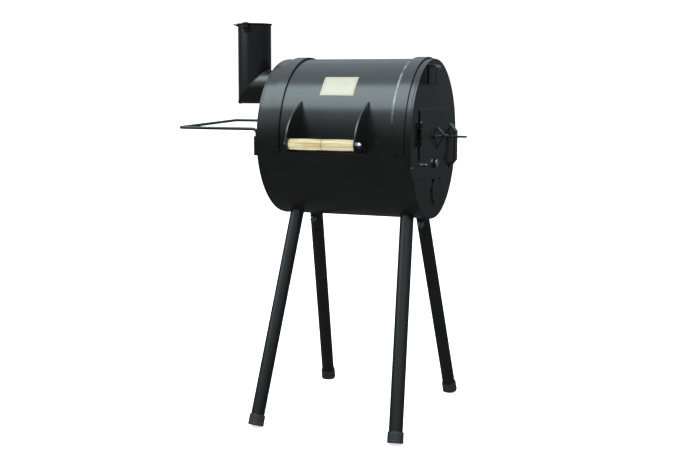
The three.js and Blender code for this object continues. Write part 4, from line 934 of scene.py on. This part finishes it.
bm = bmesh.new()
bmesh.ops.create_grid(bm, x_segments=1, y_segments=1, size=40)
floor_mesh = bpy.data.meshes.new("floor")
bm.to_mesh(floor_mesh)
bm.free()
floor = bpy.data.objects.new("floor", floor_mesh)
bpy.context.scene.collection.objects.link(floor)
floor.visible_glossy = False
floor_material, floor_tree, floor_place = new_material("pale_floor")
paper = add_node(floor_tree, "ShaderNodeTexNoise", {"Vector": floor_place}, Scale=3.0)
paper_tint = add_node(floor_tree, "ShaderNodeMix", {"Factor": paper.outputs["Fac"]}, data_type="RGBA",
                      input_6=linear("#fbfbfb"), input_7=linear("#ffffff"))
floor_shader = add_node(floor_tree, "ShaderNodeBsdfPrincipled", {"Base Color": paper_tint.outputs[2]},
                        Roughness=0.9, Emission_Color=(1, 1, 1, 1), Emission_Strength=0.7)
finish_material(floor_material, floor_tree, floor_shader)
floor_mesh.materials.append(floor_material)

world = bpy.data.worlds.new("studio")
world.use_nodes = True
bpy.context.scene.world = world
sky = world.node_tree
sky.nodes.clear()
direction = add_node(sky, "ShaderNodeTexCoord").outputs["Generated"]
height = add_node(sky, "ShaderNodeSeparateXYZ", {"Vector": direction}).outputs["Z"]
level = add_node(sky, "ShaderNodeMapRange", {"Value": height}, From_Min=-1.0, From_Max=1.0)
dome = add_node(sky, "ShaderNodeValToRGB", {"Fac": level.outputs["Result"]})
dome.color_ramp.interpolation = "EASE"
SKY_TINT = (0.86, 0.98, 1.08)
DOME = ((0.0, 0.06), (0.44, 0.07), (0.52, 0.12), (0.62, 0.35), (0.76, 0.85), (1.0, 1.5))
for position, value in DOME[1:-1]:
    dome.color_ramp.elements.new(position)
for element, (position, value) in zip(dome.color_ramp.elements, DOME):
    element.position = position
    element.color = (value * SKY_TINT[0], value * SKY_TINT[1], value * SKY_TINT[2], 1)
lit = add_node(sky, "ShaderNodeBackground", {"Color": dome.outputs["Color"]}, Strength=1.0)
plain = add_node(sky, "ShaderNodeBackground", Color=(1, 1, 1, 1), Strength=1.1)
seen = add_node(sky, "ShaderNodeLightPath").outputs["Is Camera Ray"]
blend_sky = add_node(sky, "ShaderNodeMixShader",
                     {0: seen, 1: lit.outputs["Background"], 2: plain.outputs["Background"]})
add_node(sky, "ShaderNodeOutputWorld", {"Surface": blend_sky.outputs["Shader"]})

LIGHT_DISTANCE = 3.2
LIGHT_COLOUR = (0.8, 0.96, 1.0)


def soft_light(name, heading, width, height, energy):
    """A rectangular softbox in the direction of the heading, turned towards the barrel."""
    data = bpy.data.lights.new(name, "AREA")
    data.shape = "RECTANGLE"
    data.size = width
    data.size_y = height
    data.energy = energy
    data.color = LIGHT_COLOUR
    lamp = bpy.data.objects.new(name, data)
    bpy.context.scene.collection.objects.link(lamp)
    aim = heading.normalized()
    lamp.location = BARREL_CENTRE + aim * LIGHT_DISTANCE
    lamp.rotation_euler = aim.to_track_quat("Z", "Y").to_euler()


OVERHEAD_ANGLE = math.radians(62)
OVERHEAD_HEADING = Vector((0, -math.cos(OVERHEAD_ANGLE), math.sin(OVERHEAD_ANGLE)))
FILL_HEADING = Vector((-0.81, -0.59, 0.35))
soft_light("overhead_softbox", OVERHEAD_HEADING, width=5.0, height=2.2, energy=165)
soft_light("left_fill", FILL_HEADING, width=2.5, height=1.5, energy=12)

bpy.context.scene.view_settings.view_transform = "Standard"
